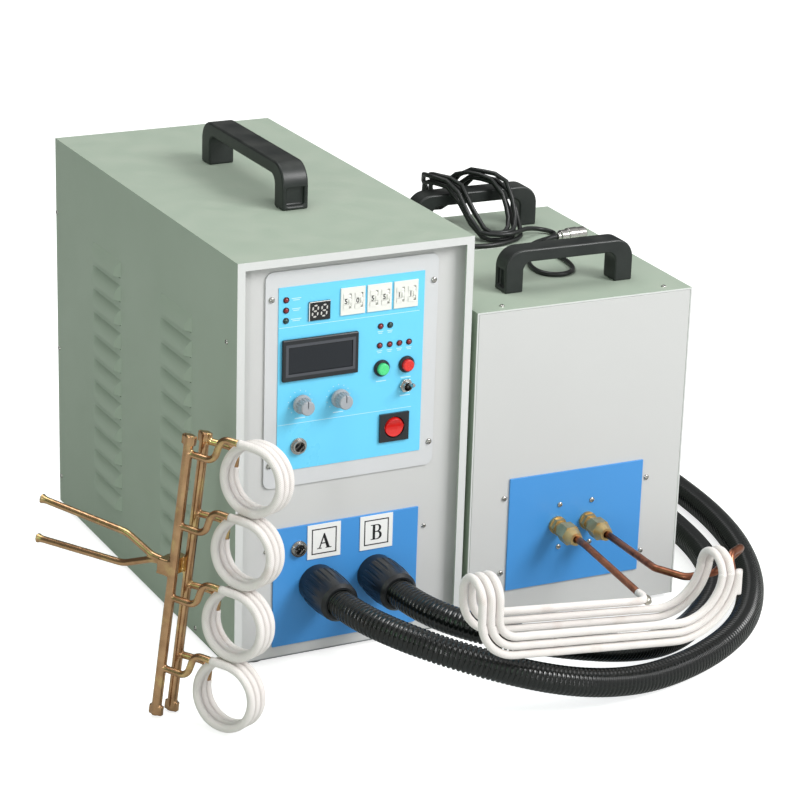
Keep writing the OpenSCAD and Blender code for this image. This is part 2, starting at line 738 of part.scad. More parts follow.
// Control knobs: a skirt, a fluted grip and a shaft through its bush
bush_out = bush_wall * 2;
bush_deep = shaft_dia * 2;

module knob(p) {
  facing(p[0], face_y - bush_out - slip_fit, p[1] + foot_h) difference() {
    rotate_extrude() polygon([[0, 0], [knob_dia / 2, 0], [knob_dia / 2, knob_h * skirt_share],
      [knob_dia * grip_share, knob_h * skirt_share * 2], [knob_dia * grip_top_share, knob_h - knob_edge],
      [knob_dia * grip_top_share - knob_edge, knob_h], [0, knob_h]]);
    for (a = [0:knob_flutes - 1]) rotate([0, 0, 360 * a / knob_flutes])
      translate([knob_dia * (grip_share + mark_share / 2), 0, knob_h * (skirt_share * 2 + mark_share)])
        cylinder(r = knob_dia * (flute_share + mark_share), h = knob_h, $fn = fine_fn);
    translate([-knob_dia * mark_share, 0, knob_h - knob_edge * 2])
      cube([knob_dia * mark_share * 2, knob_dia, knob_h]);
  }
  facing(p[0], face_y + bush_deep, p[1] + foot_h)
    cylinder(r = shaft_dia / 2, h = bush_deep + bush_out + slip_fit + knob_edge);
}
skirt_share = 0.14;
grip_share = 0.42;
grip_top_share = 0.38;
flute_share = 0.035;
mark_share = 0.03;
knob_edge_share = 0.06;
knob_edge = knob_h * knob_edge_share;
knob_flutes = 16;

module knob_left() color("silver") knob(at_knob_l);
module knob_right() color("silver") knob(at_knob_r);

// The bushes of both knobs and the toggle's threaded neck
module toggle_body() color("#a9adb0") {
  for (p = [at_knob_l, at_knob_r]) facing(p[0], face_y + bush_deep, p[1] + foot_h) difference() {
    union() {
      cylinder(r = bush_r, h = bush_deep + bush_out);
      cylinder(r = knob_dia / 2, h = bush_deep * pot_share);
    }
    translate([0, 0, -over]) cylinder(r = shaft_dia / 2 + run_fit, h = bush_deep + bush_out + over * 2);
  }
  facing(at_toggle[0], face_y + bush_deep, at_toggle[1] + foot_h) difference() {
    union() {
      cylinder(r = bush_r, h = bush_deep + bush_out * 2);
      translate([0, 0, bush_deep]) hex(bush_r * nut_share, bush_out);
    }
    translate([0, 0, bush_deep * pot_share]) rotate_extrude() polygon([[0, 0], [ball_r + run_fit, 0],
      [ball_r + run_fit, bush_deep * (1 - pot_share) - ball_r * 2],
      [bush_r - slip_fit, bush_deep * (1 - pot_share) + bush_out * 2 + over],
      [0, bush_deep * (1 - pot_share) + bush_out * 2 + over]]);
  }
}
pot_share = 0.4;
nut_share = 2.6;
ball_share = 0.4;
ball_r = shaft_dia * ball_share;
bat_pivot = face_y + bush_deep * (1 - pot_share) - ball_r * 2;

// The bat leans to one side at rest and swings across to the other
module toggle_bat() color("silver")
  translate([at_toggle[0], bat_pivot, at_toggle[1] + foot_h]) rotate([-bat_swing, 0, 0]) rotate([90, 0, 0]) {
    sphere(r = ball_r);
    rotate_extrude() polygon([[0, 0], [bat_neck, 0], [bat_neck, bat_base],
      [bat_tip, bat_base + bat_len - bat_tip], [bat_tip * tip_share, bat_base + bat_len], [0, bat_base + bat_len]]);
  }
bat_neck_share = 0.5;
bat_neck = ball_r * bat_neck_share;
bat_tip_share = 0.92;
bat_tip = ball_r * bat_tip_share;
tip_share = 0.6;
bat_base = bush_deep * (1 - pot_share) - ball_r * 2 + bush_out * 2;

power_out_share = 0.09;
// Power switch: a square frame with a round lit rocker
power_out = power_h * power_out_share;
rocker_free_share = 0.05;
rocker_free = rocker_dia * rocker_free_share;
rocker_hole = rocker_dia / 2 + rocker_free;
rocker_deep_share = 0.55;
rocker_deep = rocker_dia * rocker_deep_share;
rocker_axle_share = 0.08;
rocker_axle = rocker_dia * rocker_axle_share;

module power_frame() color("#151515") difference() {
  cased(at_power[0], at_power[1], power_w, power_h, power_out, rocker_dia);
  facing(at_power[0], face_y + rocker_deep, at_power[1] + foot_h)
    cylinder(r = rocker_hole, h = rocker_deep + power_out + over);
  translate([at_power[0], face_y, at_power[1] + foot_h]) rotate([0, 90, 0])
    cylinder(r = rocker_axle + run_fit, h = rocker_hole * 2 + rocker_axle * 2, center = true);
}

module power_rocker() color("red")
  translate([at_power[0], face_y, at_power[1] + foot_h]) rotate([rocker_tilt, 0, 0]) {
    difference() {
      rotate([0, 0, 45]) sphere(r = rocker_dia / 2);
      translate([-rocker_dia, rocker_back, -rocker_dia]) cube(rocker_dia * 2);
      translate([0, -power_out - rocker_dish, 0]) rotate([0, 90, 0])
        cylinder(r = rocker_dish, h = rocker_dia * 2, center = true);
    }
    rotate([0, 90, 0]) cylinder(r = rocker_axle, h = rocker_hole * 2 + rocker_axle, center = true);
  }
rocker_back_share = 0.16;
rocker_dish_share = 1.3;
rocker_dish = rocker_dia * rocker_dish_share;
rocker_back = rocker_dia * rocker_back_share;

// Round signal sockets with their pins, on the panel and on the outlet plate
module signal_socket(x, y, z) {
  facing(x, y + socket_dia, z) difference() {
    rotate_extrude() polygon([[0, 0], [socket_neck, 0], [socket_neck, socket_dia],
      [socket_dia / 2, socket_dia], [socket_dia / 2, socket_dia + socket_rim],
      [socket_neck, socket_dia + socket_rim], [socket_neck, socket_dia + socket_rim * 3],
      [0, socket_dia + socket_rim * 3]]);
    translate([0, 0, socket_dia - socket_well]) cylinder(r = socket_neck - socket_rim, h = socket_dia * 2);
  }
  for (a = [0:3]) facing(x, y + socket_well + over, z) rotate([0, 0, 360 * a / 4 + 360 / 8])
    translate([socket_neck * pin_share, 0, 0]) cylinder(r = socket_rim * pin_share, h = over + socket_rim * 2);
}
socket_rim_share = 0.09;
socket_rim = socket_dia * socket_rim_share;
socket_well_share = 0.36;
socket_well = socket_dia * socket_well_share;
pin_share = 0.45;

module signal_sockets() color("silver") {
  signal_socket(at_socket[0], face_y, at_socket[1] + foot_h);
  signal_socket(port_socket[0], deck_y - outlet_t, port_socket[1]);
}

module outlet_plate() color("steelblue")
  facing(0, deck_y, 0) linear_extrude(outlet_t) difference() {
    translate([outlet_x, outlet_mid]) square([outlet_w, outlet_h], center = true);
    outlet_holes(seat_gap);
  }

module port_tags() color("white")
  for (s = tag_x_share) facing(outlet_x + outlet_w * s, deck_y - outlet_t, outlet_mid + outlet_h * tag_z_share)
    linear_extrude(tag_t) square([tag_w, tag_w], center = true);

// A hose gland: back nut, body and fluted dome nut round the hose
module hose_gland(out) {
  shoulder = out - gland_grip;
  difference() {
    union() {
      rotate_extrude() polygon([[0, -gland_back], [gland_neck, -gland_back], [gland_neck, 0],
        [gland_dia / 2 * collar_share, 0], [gland_dia / 2 * collar_share, out * collar_z_share],
        [gland_dia / 2 - flute_r, out * collar_z_share], [gland_dia / 2, out * collar_z_share + flute_r],
        [gland_dia / 2, out * dome_share], [gland_dia / 2 - flute_r, out - flute_r * 2],
        [hose_dia / 2 + hose_fit + gland_mouth, out], [0, out]]);
      translate([0, 0, -gland_back]) cylinder(r = gland_dia / 2 * collar_share, h = gland_nut);
    }
    for (a = [0:gland_flutes - 1]) rotate([0, 0, 360 * a / gland_flutes])
      translate([gland_dia / 2 + flute_r * flute_in_share, 0, out * collar_z_share - over])
        cylinder(r = flute_r, h = out, $fn = fine_fn);
    translate([0, 0, shoulder]) cylinder(r = hose_dia / 2 + hose_fit, h = out);
    translate([0, 0, -gland_back - over]) cylinder(d = hose_bore, h = out + gland_back);
  }
}
// Depth of the hose inside its gland
gland_grip = 38;
gland_nut_share = 0.14;
gland_nut = gland_dia * gland_nut_share;
gland_back = panel_t + outlet_t + gland_nut + seat_gap;
gland_mouth_share = 0.05;
gland_mouth = gland_dia * gland_mouth_share;
collar_share = 0.93;
collar_z_share = 0.2;
dome_share = 0.6;
gland_flute_share = 0.04;
flute_r = gland_dia * gland_flute_share;
flute_in_share = 0.35;

module front_glands() color("#1b1b1b") for (sx = [-1, 1])
  facing(sx * gland_pitch / 2, deck_y - outlet_t, gland_z) hose_gland(gland_out);

// ---- rear of the power cabinet ----

back_in = panel_t;
fan_mid = foot_h + fan_z;
fan_front = rear_y - panel_t - fan_deep;
fan_wall_share = 0.025;
fan_wall = fan_w * fan_wall_share;
fan_bore = fan_w / 2 - fan_wall;
fan_hole_share = 0.43;
fan_screw_share = 0.4375;
fan_screw = fan_w * fan_screw_share;
screw_share = 0.018;
screw_r = fan_w * screw_share;

module cabinet_back() color("#cfcfcf")
  facing(0, rear_y, 0) linear_extrude(panel_t) difference() {
    translate([0, foot_h + tray_t + (main_h - tray_t - sheet) / 2])
      square([main_w - sheet * 2 - seat_gap * 2, main_h - sheet - tray_t - seat_gap * 2], center = true);
    translate([0, fan_mid]) circle(fan_bore);
    for (sx = [-1, 1], sz = [-1, 1]) translate([sx * fan_screw, fan_mid + sz * fan_screw]) circle(screw_r);
    for (x = spigot_xs) translate([x, spigot_z]) circle(spigot_dia / 2 + seat_gap);
    translate([supply_x, supply_z]) circle(supply_gland / 2 * neck_share + seat_gap);
  }
spigot_shares = [-0.3, -0.12];
spigot_xs = [for (s = spigot_shares) main_w * s];
spigot_z_share = 0.16;
spigot_z = foot_h + main_h * spigot_z_share;
supply_x_share = 0.27;
supply_x = main_w * supply_x_share;
supply_z_share = 0.2;
supply_z = foot_h + main_h * supply_z_share;

module fan_frame() color("#2b2b2b") translate([0, fan_front, fan_mid]) rotate([-90, 0, 0]) {
  difference() {
    linear_extrude(fan_deep) round_rect(fan_w, fan_w, fan_wall * 2);
    translate([0, 0, -over]) cylinder(r = fan_bore, h = fan_deep + over * 2);
    for (sx = [-1, 1], sz = [-1, 1]) translate([sx * fan_screw, sz * fan_screw, -over])
      cylinder(r = screw_r, h = fan_deep + over * 2);
  }
  // motor stator and its struts, with the rotor's bush
  difference() {
    union() {
      cylinder(r = fan_hub / 2, h = strut_t);
      for (a = [0:3]) rotate([0, 0, 360 * a / 4 + 360 / 8]) translate([fan_hub / 4, -strut_t / 2, over])
        cube([fan_w / 2 - fan_hub / 4 - fan_wall / 2, strut_t, strut_t - over * 2]);
      cylinder(r = fan_pin + strut_t, h = strut_t * 2);
    }
    translate([0, 0, -over]) cylinder(r = fan_pin + run_fit, h = strut_t * 2 + over * 2);
  }
}
strut_share = 0.13;
strut_t = fan_deep * strut_share;
fan_pin_share = 0.07;
fan_pin = fan_hub * fan_pin_share;
blade_share = 0.4;
blade_t = strut_t * blade_share;
blade_pitch = 38;

module fan_rotor() color("#1a1a1a") translate([0, fan_front, fan_mid]) rotate([-90, 0, 0]) {
  difference() {
    translate([0, 0, strut_t + slip_fit * 2]) cylinder(r = fan_hub / 2, h = rotor_deep);
    translate([0, 0, strut_t]) cylinder(r = fan_hub / 2 - strut_t, h = rotor_deep - strut_t);
  }
  cylinder(r = fan_pin, h = strut_t + rotor_deep);
  intersection() {
    translate([0, 0, strut_t + slip_fit * 2]) difference() {
      cylinder(r = fan_bore - fan_wall / 2, h = rotor_deep);
      translate([0, 0, -over]) cylinder(r = fan_hub / 2 - strut_t / 2, h = rotor_deep + over * 2);
    }
    for (a = [0:fan_blades - 1]) rotate([0, 0, 360 * a / fan_blades])
      translate([fan_bore / 2, 0, strut_t + rotor_deep / 2]) rotate([90 - blade_pitch, 0, 0])
        cube([fan_w / 2, fan_deep * 2, blade_t], center = true);
  }
}
rotor_deep = fan_deep - strut_t * 2 - slip_fit * 2;

// Wire finger guard of even rings on crossed spokes, screwed over the fan
module fan_guard() color("silver") translate([0, rear_y, fan_mid]) rotate([-90, 0, 0]) {
  for (i = [1:guard_rings]) translate([0, 0, guard_r]) rotate_extrude()
    translate([fan_bore * i / guard_rings, 0]) circle(guard_r, $fn = fine_fn);
  for (a = [0:1]) rotate([0, 0, 90 * a + 45]) translate([-fan_screw * sqrt(2), 0, guard_r * 3 - guard_sink])
    rotate([0, 90, 0]) cylinder(r = guard_r, h = fan_screw * 2 * sqrt(2), $fn = fine_fn);
  for (sx = [-1, 1], sz = [-1, 1]) translate([sx * fan_screw, sz * fan_screw, 0])
    cylinder(r = screw_r * 2, h = guard_r * 4);
}
guard_rings = 8;
guard_share = 0.01;
guard_r = fan_w * guard_share;
guard_sink_share = 0.4;
guard_sink = guard_r * guard_sink_share;

// Barbed water spigots through the rear panel, with their lock nuts
module water_spigots() color("goldenrod") for (x = spigot_xs)
  translate([x, rear_y, spigot_z]) rotate([-90, 0, 0]) difference() {
    union() {
      hex(spigot_dia * lock_share, lock_t);
      translate([0, 0, -panel_t - lock_t]) hex(spigot_dia * lock_share, lock_t);
      translate([0, 0, -panel_t - lock_t * 2]) cylinder(d = spigot_dia, h = panel_t + lock_t * 3);
      translate([0, 0, lock_t]) rotate_extrude() polygon(concat([[0, 0]],
        [for (i = [0:3]) each [[spigot_dia / 2, i * lock_t], [spigot_dia * barb_share, (i + 1) * lock_t]]],
        [[0, lock_t * 4]]));
    }
    translate([0, 0, -panel_t - lock_t * 2 - over])
      cylinder(r = spigot_dia * spigot_bore_share, h = panel_t + lock_t * 7 + over * 2);
  }
lock_share = 1.6;
lock_t_share = 0.45;
lock_t = spigot_dia * lock_t_share;
barb_share = 0.4;
spigot_bore_share = 0.28;

module supply_inlet() color("#202020") translate([supply_x, rear_y, supply_z]) rotate([-90, 0, 0])
  difference() {
    union() {
      hex(supply_gland, supply_gland * inlet_hex_share);
      rotate_extrude() polygon([[0, -panel_t * 2], [supply_gland / 2 * neck_share, -panel_t * 2],
        [supply_gland / 2 * neck_share, supply_gland * inlet_hex_share],
        [supply_gland / 2, supply_gland * inlet_hex_share],
        [supply_gland / 2, supply_gland * neck_share * neck_share],
        [supply_gland * inlet_mouth_share, supply_gland], [0, supply_gland]]);
    }
    translate([0, 0, -panel_t * 2 - over])
      cylinder(r = supply_gland * inlet_bore_share, h = supply_gland + panel_t * 2 + over * 2);
  }
inlet_hex_share = 0.25;
inlet_mouth_share = 0.36;
inlet_bore_share = 0.24;

sink_w_share = 0.62;
// Heat sink, capacitor bank and their shelf, which show through the louvres and the fan
sink_w = main_w * sink_w_share;
sink_d_share = 0.46;
sink_d = main_d * sink_d_share;
sink_h_share = 0.2;
sink_h = main_h * sink_h_share;
sink_base_share = 0.16;
sink_base = sink_h * sink_base_share;
fin_n = 14;
fin_share = 0.28;
fin_t = sink_w / fin_n * fin_share;
can_share = 0.13;
can_r = main_w * can_share;
can_h_share = 0.26;
can_h = main_h * can_h_share;

module inner_chassis() color("#b8bcc0") translate([0, 0, foot_h + tray_t]) {
  difference() {
    translate([-sink_w / 2, -sink_d * sink_back_share, 0]) cube([sink_w, sink_d, sink_h]);
    for (i = [1:fin_n]) translate([sink_w * (i / fin_n - 0.5) - (sink_w / fin_n + fin_t) / 2,
        -sink_d * sink_back_share - over, sink_base])
      cube([sink_w / fin_n - fin_t, sink_d + over * 2, sink_h]);
  }
  translate([-sink_w / 2, -sink_d * sink_back_share, sink_h]) cube([sink_w, sink_d, tray_t]);
  for (sx = [-1, 1], y = [0.25, 0.65]) translate([sx * can_r * can_gap_share, -sink_d * sink_back_share + sink_d * y,
      sink_h + tray_t]) cylinder(r = can_r, h = can_h);
}
sink_back_share = 0.6;
can_gap_share = 1.08;

// ---- transformer cabinet, drawn from its left front corner ----

module on_unit() translate([main_w / 2 + units_gap, front_y + unit_back, 0]) rotate([0, 0, unit_yaw]) children();

function unit_point(u, v, z) = [
  main_w / 2 + units_gap + u * cos(unit_yaw) - v * sin(unit_yaw),
  front_y + unit_back + u * sin(unit_yaw) + v * cos(unit_yaw), z];

unit_top = foot_h + unit_h;
unit_foot_in = foot_in;

module unit_tray() color("gainsboro") on_unit() difference() {
  union() {
    translate([sheet, panel_t + seat_gap, foot_h])
      cube([unit_w - sheet * 2, unit_d - (panel_t + seat_gap) * 2, tray_t]);
    for (x = [sheet, unit_w - sheet * 2]) translate([x, panel_t + seat_gap, foot_h])
      cube([sheet, unit_d - (panel_t + seat_gap) * 2, flange_h]);
    // core block of the output transformer on the tray
    translate([unit_w * core_share, unit_d * core_share, foot_h + tray_t])
      cube([unit_w * (1 - core_share * 2), unit_d * (1 - core_share * 2), unit_h * core_h_share]);
  }
  for (x = [unit_foot_in, unit_w - unit_foot_in], y = [unit_foot_in, unit_d - unit_foot_in])
    translate([x, y, foot_h - over]) cylinder(r = foot_pin, h = tray_t + over * 2);
}
core_share = 0.26;
core_h_share = 0.42;

module unit_cover() color("darkseagreen") on_unit() difference() {
  translate([0, 0, foot_h]) cube([unit_w, unit_d, unit_h]);
  translate([sheet, -over, foot_h - over]) cube([unit_w - sheet * 2, unit_d + over * 2, unit_h - sheet + over]);
  // seam where the front and rear halves of the cover meet
  translate([-over, unit_d * seam_share, unit_top - seam_deep])
    cube([unit_w + over * 2, sheet * seam_w_share, seam_deep + over]);
}
seam_share = 0.607;
seam_w_share = 0.5;
seam_deep_share = 0.35;
seam_deep = sheet * seam_deep_share;

module unit_sheet() translate([unit_w / 2, foot_h + (unit_h - sheet) / 2])
  square([unit_w - sheet * 2 - seat_gap * 2, unit_h - sheet - seat_gap * 2], center = true);

module unit_front() color("#d6d6d6") on_unit()
  facing(0, panel_t, 0) linear_extrude(panel_t) difference() {
    unit_sheet();
    for (x = union_xs) translate([x, foot_h + union_z]) circle(union_neck + seat_gap);
  }

module unit_back() color("#cfcfcf") on_unit()
  facing(0, unit_d, 0) linear_extrude(panel_t) difference() {
    unit_sheet();
    for (x = rear_gland_xs) translate([x, rear_gland_z]) circle(gland_neck + seat_gap);
    translate([lead_x, unit_top + lead_z]) circle(cord_dia + seat_gap);
  }

module unit_feet() color("#1c1c1c") on_unit()
  for (x = [unit_foot_in, unit_w - unit_foot_in], y = [unit_foot_in, unit_d - unit_foot_in])
    translate([x, y, 0]) rubber_foot();

module unit_handle(v) on_unit() translate([unit_w * grip_x_share - grip_len / 2, v, unit_top])
  rotate([0, 0, -90]) difference() {
    bridge_handle(grip_len, grip_w, grip_h, grip_bar, grip_foot, grip_r);
    for (m = [0, 1]) translate([0, grip_len * m, 0]) mirror([0, m, 0])
      translate([-grip_w / 2 + handle_wall, -over, handle_wall])
        cube([grip_w - handle_wall * 2, handle_wall + over, grip_h - grip_r - handle_wall]);
  }
grip_x_share = 0.5155;
grip_front_share = 0.182;
grip_back_share = 0.853;

module unit_handle_front() color("#222222") unit_handle(unit_d * grip_front_share);
module unit_handle_back() color("#222222") unit_handle(unit_d * grip_back_share);

term_x_share = 0.4943;
term_x = unit_w * term_x_share;
term_mid = foot_h + term_z + term_h / 2;
union_x_share = 0.4803;
union_xs = [for (s = [-1, 1]) unit_w * union_x_share + s * union_pitch / 2];
union_neck_share = 0.36;
union_neck = union_af * union_neck_share;

module terminal_plate() color("steelblue") on_unit()
  facing(0, 0, 0) linear_extrude(outlet_t) difference() {
    translate([term_x, term_mid]) square([term_w, term_h], center = true);
    for (x = union_xs) translate([x, foot_h + union_z]) circle(union_neck + seat_gap);
  }

// Flare unions: flange, hexagon body, threaded neck, nut and cone
module flare_unions() color("darkgoldenrod") on_unit() for (x = union_xs)
  facing(x, -outlet_t, foot_h + union_z) difference() {
    union() {
      translate([0, 0, -panel_t - outlet_t - union_flange]) cylinder(r = union_neck, h = panel_t + outlet_t + union_flange * 2);
      translate([0, 0, -panel_t - outlet_t - union_flange]) hex(union_af, union_flange);
      cylinder(r = union_af / 2, h = union_flange);
      translate([0, 0, union_flange]) hex(union_af * body_af_share, union_flange * 2);
      cylinder(r = union_neck, h = union_len * nut_at_share + over);
      translate([0, 0, union_len * nut_at_share]) hex(union_af, union_len * nut_len_share);
      translate([0, 0, union_len * (nut_at_share + nut_len_share)]) rotate_extrude()
        polygon([[0, 0], [union_af / 2, 0], [tube_dia / 2 + union_flange, cone_len], [0, cone_len]]);
    }
    translate([0, 0, -panel_t - outlet_t - union_flange - over])
      cylinder(r = tube_dia * union_bore_share, h = union_len * 2);
    translate([0, 0, union_len - union_grip]) cylinder(r = tube_dia / 2 + seat_gap, h = union_grip + over);
  }
union_flange_share = 0.07;
union_flange = union_len * union_flange_share;
body_af_share = 0.84;
nut_at_share = 0.42;
nut_len_share = 0.34;
cone_len = union_len * (1 - nut_at_share - nut_len_share);
union_bore_share = 0.3;
// Depth of the coil's pipe inside its nut
union_grip = cone_len + union_flange;

rear_gland_xs = [57, 109];
rear_gland_z = 46;
rear_gland_out = 60;

module rear_glands() color("#1b1b1b") on_unit() for (x = rear_gland_xs)
  translate([x, unit_d, rear_gland_z]) rotate([-90, 0, 0]) hose_gland(rear_gland_out);

// ---- hoses: the route points are also used by the render ----

route_left = [[-32, -226, 81], [-32, -250, 81], [-32, -274, 81], [-32, -300, 81], [-23, -342, 80],
  [6, -386, 73], [46, -418, 62], [89, -438, 49], [135, -445, 35], [183, -445, 24], [231, -438, 17],
  [278, -425, 15], [323, -407, 15], [365, -382, 15], [401, -351, 15], [432, -313, 15],
  [459, -272, 15], [481, -228, 15], [499, -183, 15], [512, -136, 15], [521, -89, 15],
  [526, -41, 15], [529, 8, 15], [533, 56, 15], [536, 105, 15], [536, 155, 15], [528, 203, 15],
  [508, 246, 15], [476, 283, 18], [434, 308, 21], [386, 320, 27], [336, 318, 32], [290, 302, 37],
  [251, 274, 42], [222, 235, 45], [206, 192, 46], [201, 150, 46], [200, 122, 46], [199, 92, 46],
  [198, 62, 46]];
route_right = [[32, -226, 81], [32, -250, 81], [32, -274, 81], [32, -302, 81], [41, -345, 80],
  [68, -383, 76], [106, -407, 69], [148, -415, 59], [190, -413, 47], [231, -403, 35], [270, -388, 25],
  [308, -366, 17], [346, -340, 15], [382, -309, 15], [413, -273, 15], [436, -231, 15],
  [452, -186, 15], [461, -139, 15], [467, -91, 15], [470, -43, 15], [474, 5, 15], [481, 53, 15],
  [489, 102, 15], [493, 153, 15], [485, 205, 15], [460, 252, 17], [417, 282, 22], [364, 291, 29],
  [313, 276, 37], [275, 241, 43], [256, 193, 46], [252, 150, 46], [252, 122, 46], [251, 92, 46],
  [250, 62, 46]];

module ribbed_hose(route) {
  fine = curve(route, len(route) * 6);
  p = even(fine, rib_n * 2);
  q = even(fine, round(rib_n * bore_ring_share));
  r = [for (i = [0:rib_n * 2]) hose_dia / 2 - (i % 2 == 0 ? rib_deep : 0)];
  hollow_tube(p, r, q, hose_bore / 2, 8);
}
bore_ring_share = 0.7;

module hose_left() color("#2a2a2a") ribbed_hose(route_left);
module hose_right() color("#3a3a3a") ribbed_hose(route_right);

// ---- saddle coil ----

union_a = unit_point(union_xs[0], -outlet_t, foot_h + union_z);
union_b = unit_point(union_xs[1], -outlet_t, foot_h + union_z);
arch_r = coil_waist / 2;
back_y = union_a[1] + outlet_t - coil_reach;
saddle_y = back_y - coil_waist;
corner_left_share = 0.58;
// Corner radius of the innermost strand at each end
corner_left = coil_waist * corner_left_share;
corner_right_share = 1.18;
corner_right = coil_waist * corner_right_share;
function left_x(k) = union_a[0] - coil_left - strand_pitch * k;
function right_x(k) = union_a[0] + coil_right + strand_pitch * k;
strand_slope = strand_fall / (coil_left + coil_right);
// Height of strand j, counted from the top, at x
function strand_z(x, j) = strand_left_z - strand_slope * (x - left_x(0))
  - strand_pitch * j * sqrt(1 + strand_slope * strand_slope);
arc_steps = 4;
wide_steps = 6;

// One turn from the back strand over the left arches and back over the right ones
function saddle_turn(k) = concat([
  [left_x(k), back_y, strand_z(left_x(k), k), corner_left + strand_pitch * k, arc_steps],
  [left_x(k), back_y, arch_left_z, arch_r, arc_steps],
  [left_x(k), saddle_y, arch_left_z, arch_r, arc_steps],
  [left_x(k), saddle_y, strand_z(left_x(k), k + 1), corner_left + strand_pitch * k, arc_steps],
  [right_x(k), saddle_y, strand_z(right_x(k), k + 1), corner_right + strand_pitch * k, wide_steps]],
  k == 2 ? [] : [
  [right_x(k), saddle_y, arch_right_z, arch_r, arc_steps],
  [right_x(k), back_y, arch_right_z, arch_r, arc_steps],
  [right_x(k), back_y, strand_z(right_x(k), k + 1), corner_right + strand_pitch * k, wide_steps]]);

joint_share = 0.5;
strand_entry_z = strand_z(union_a[0], 0);
joint_z = union_a[2] - (union_a[2] - strand_entry_z) * joint_share;
entry_r_share = 1.6;
entry_r = sleeve_dia * entry_r_share;
joint_y = back_y + entry_r;
tail_z = foot_h + union_z;

coil_in = [[union_a[0], union_a[1] - union_len + union_grip, union_a[2], 0, 0],
  [union_a[0], union_a[1] - union_len - tube_dia * 2, union_a[2], tube_dia * 2, arc_steps],
  [union_a[0], joint_y + tube_dia, strand_entry_z, 0, 0]];
saddle_path = concat([[union_a[0], joint_y + tube_dia, strand_entry_z, 0, 0],
  [union_a[0], back_y, strand_entry_z, entry_r, arc_steps]],
  saddle_turn(0), saddle_turn(1), saddle_turn(2),
  [[right_x(2), saddle_y, tail_z, 0, 0]]);
// The bare tail rises, turns over and runs back to the right union
tail_shares = [[0.05, 0.55, 4.3, 1.6], [0.75, 0.95, 4.3, 1.2], [0.15, 1.3, 0.1, 1.2],
  [-0.55, 1.5, -0.3, 1.8], [-1, 2.25, -0.1, 1.5]];
coil_out = concat([[right_x(2), saddle_y, tail_z, 0, 0]],
  [for (s = tail_shares) [right_x(2) + s[0] * (right_x(2) - union_b[0]),
    saddle_y + s[1] * coil_waist, tail_z + s[2] * tube_dia, s[3] * tube_dia, arc_steps]],
  [[union_b[0], union_b[1] - union_len + union_grip, union_b[2], 0, 0]]);

saddle_points = rounded(saddle_path);
echo(str("saddle coil rings ", len(saddle_points), ", least gap to itself ",
  self_gap(even(saddle_points, len(saddle_points) * 3), sleeve_dia, 12)));

module saddle_coil() color("ivory")
  tube(saddle_points, [for (p = saddle_points) sleeve_dia / 2], 6);

module coil_pipes() color("peru") {
  tube(rounded(coil_in), [for (p = rounded(coil_in)) tube_dia / 2], 12);
  tube(rounded(coil_out), [for (p = rounded(coil_out)) tube_dia / 2], 10);
}

// ---- spare four-ring coil, drawn along its manifold and leaned on the bench ----

spare_at = [-219, -286.5, 2];
spare_lean = 7;
spare_turn = -57;
mani_gap_share = 2.06;
mani_gap = mani_dia * mani_gap_share;
ring_x_share = 2.18;
ring_x = ring_r * ring_x_share;
lead_lift_share = 0.25;
lead_lift = ring_r * lead_lift_share;
mani_a = [0, -mani_gap / 2];
mani_b_share = 0.45;
mani_b = [mani_dia * mani_b_share, mani_gap / 2];

module on_spare() translate(spare_at) rotate([0, spare_lean, 0]) rotate([0, 0, spare_turn]) children();

// Each ring: a copper lead in, the sleeved turns and a lead back to the other tube
function ring_turns(z) = let (n = ring_steps)
  concat([[ring_x - ring_r * ring_lead_share, mani_a[1] + turn_pitch * ring_off_share, z + ring_r]],
  [for (i = [0:n]) let (a = 90 - 360 * turns * i / n)
    [ring_x + ring_r * cos(a), mani_a[1] + turn_pitch * (ring_off_share + turns * i / n),
     z + ring_r * sin(a)]]);
ring_steps = 36;
ring_lead_share = 0.5;
ring_off_share = 0;

function ring_mid(k) = ring_z + ring_pitch * k;

echo(str("spare ring rings ", ring_steps + 2, ", least gap to itself ",
  self_gap(even(ring_turns(0), ring_steps * 4), ring_tube, 20)));

module spare_rings() color("ivory") on_spare() for (k = [0:3])
  tube(ring_turns(ring_mid(k)), [for (i = [0:ring_steps + 1]) ring_tube / 2], 6);

module pinched_tube(p) translate([p[0], p[1], 0]) {
  cylinder(d = mani_dia, h = mani_len);
  for (z = [0, mani_len - mani_dia]) translate([-mani_dia * flat_w_share, -mani_dia * flat_t_share, z])
    cube([mani_dia * flat_w_share * 2, mani_dia * flat_t_share * 2, mani_dia]);
}
flat_w_share = 0.72;
flat_t_share = 0.28;

// Copper leads as rounded runs in the manifold's frame
module lead_tube(p, d) tube(rounded(p), [for (q = rounded(p)) d / 2], 8);

lead_start = ring_x - ring_r * ring_lead_share;
tee_share = 0.527;
tee_z = mani_len * tee_share;
tee_w_share = 1.6;
tee_w = mani_dia * tee_w_share;
lead_reach_share = [1, 1.06];

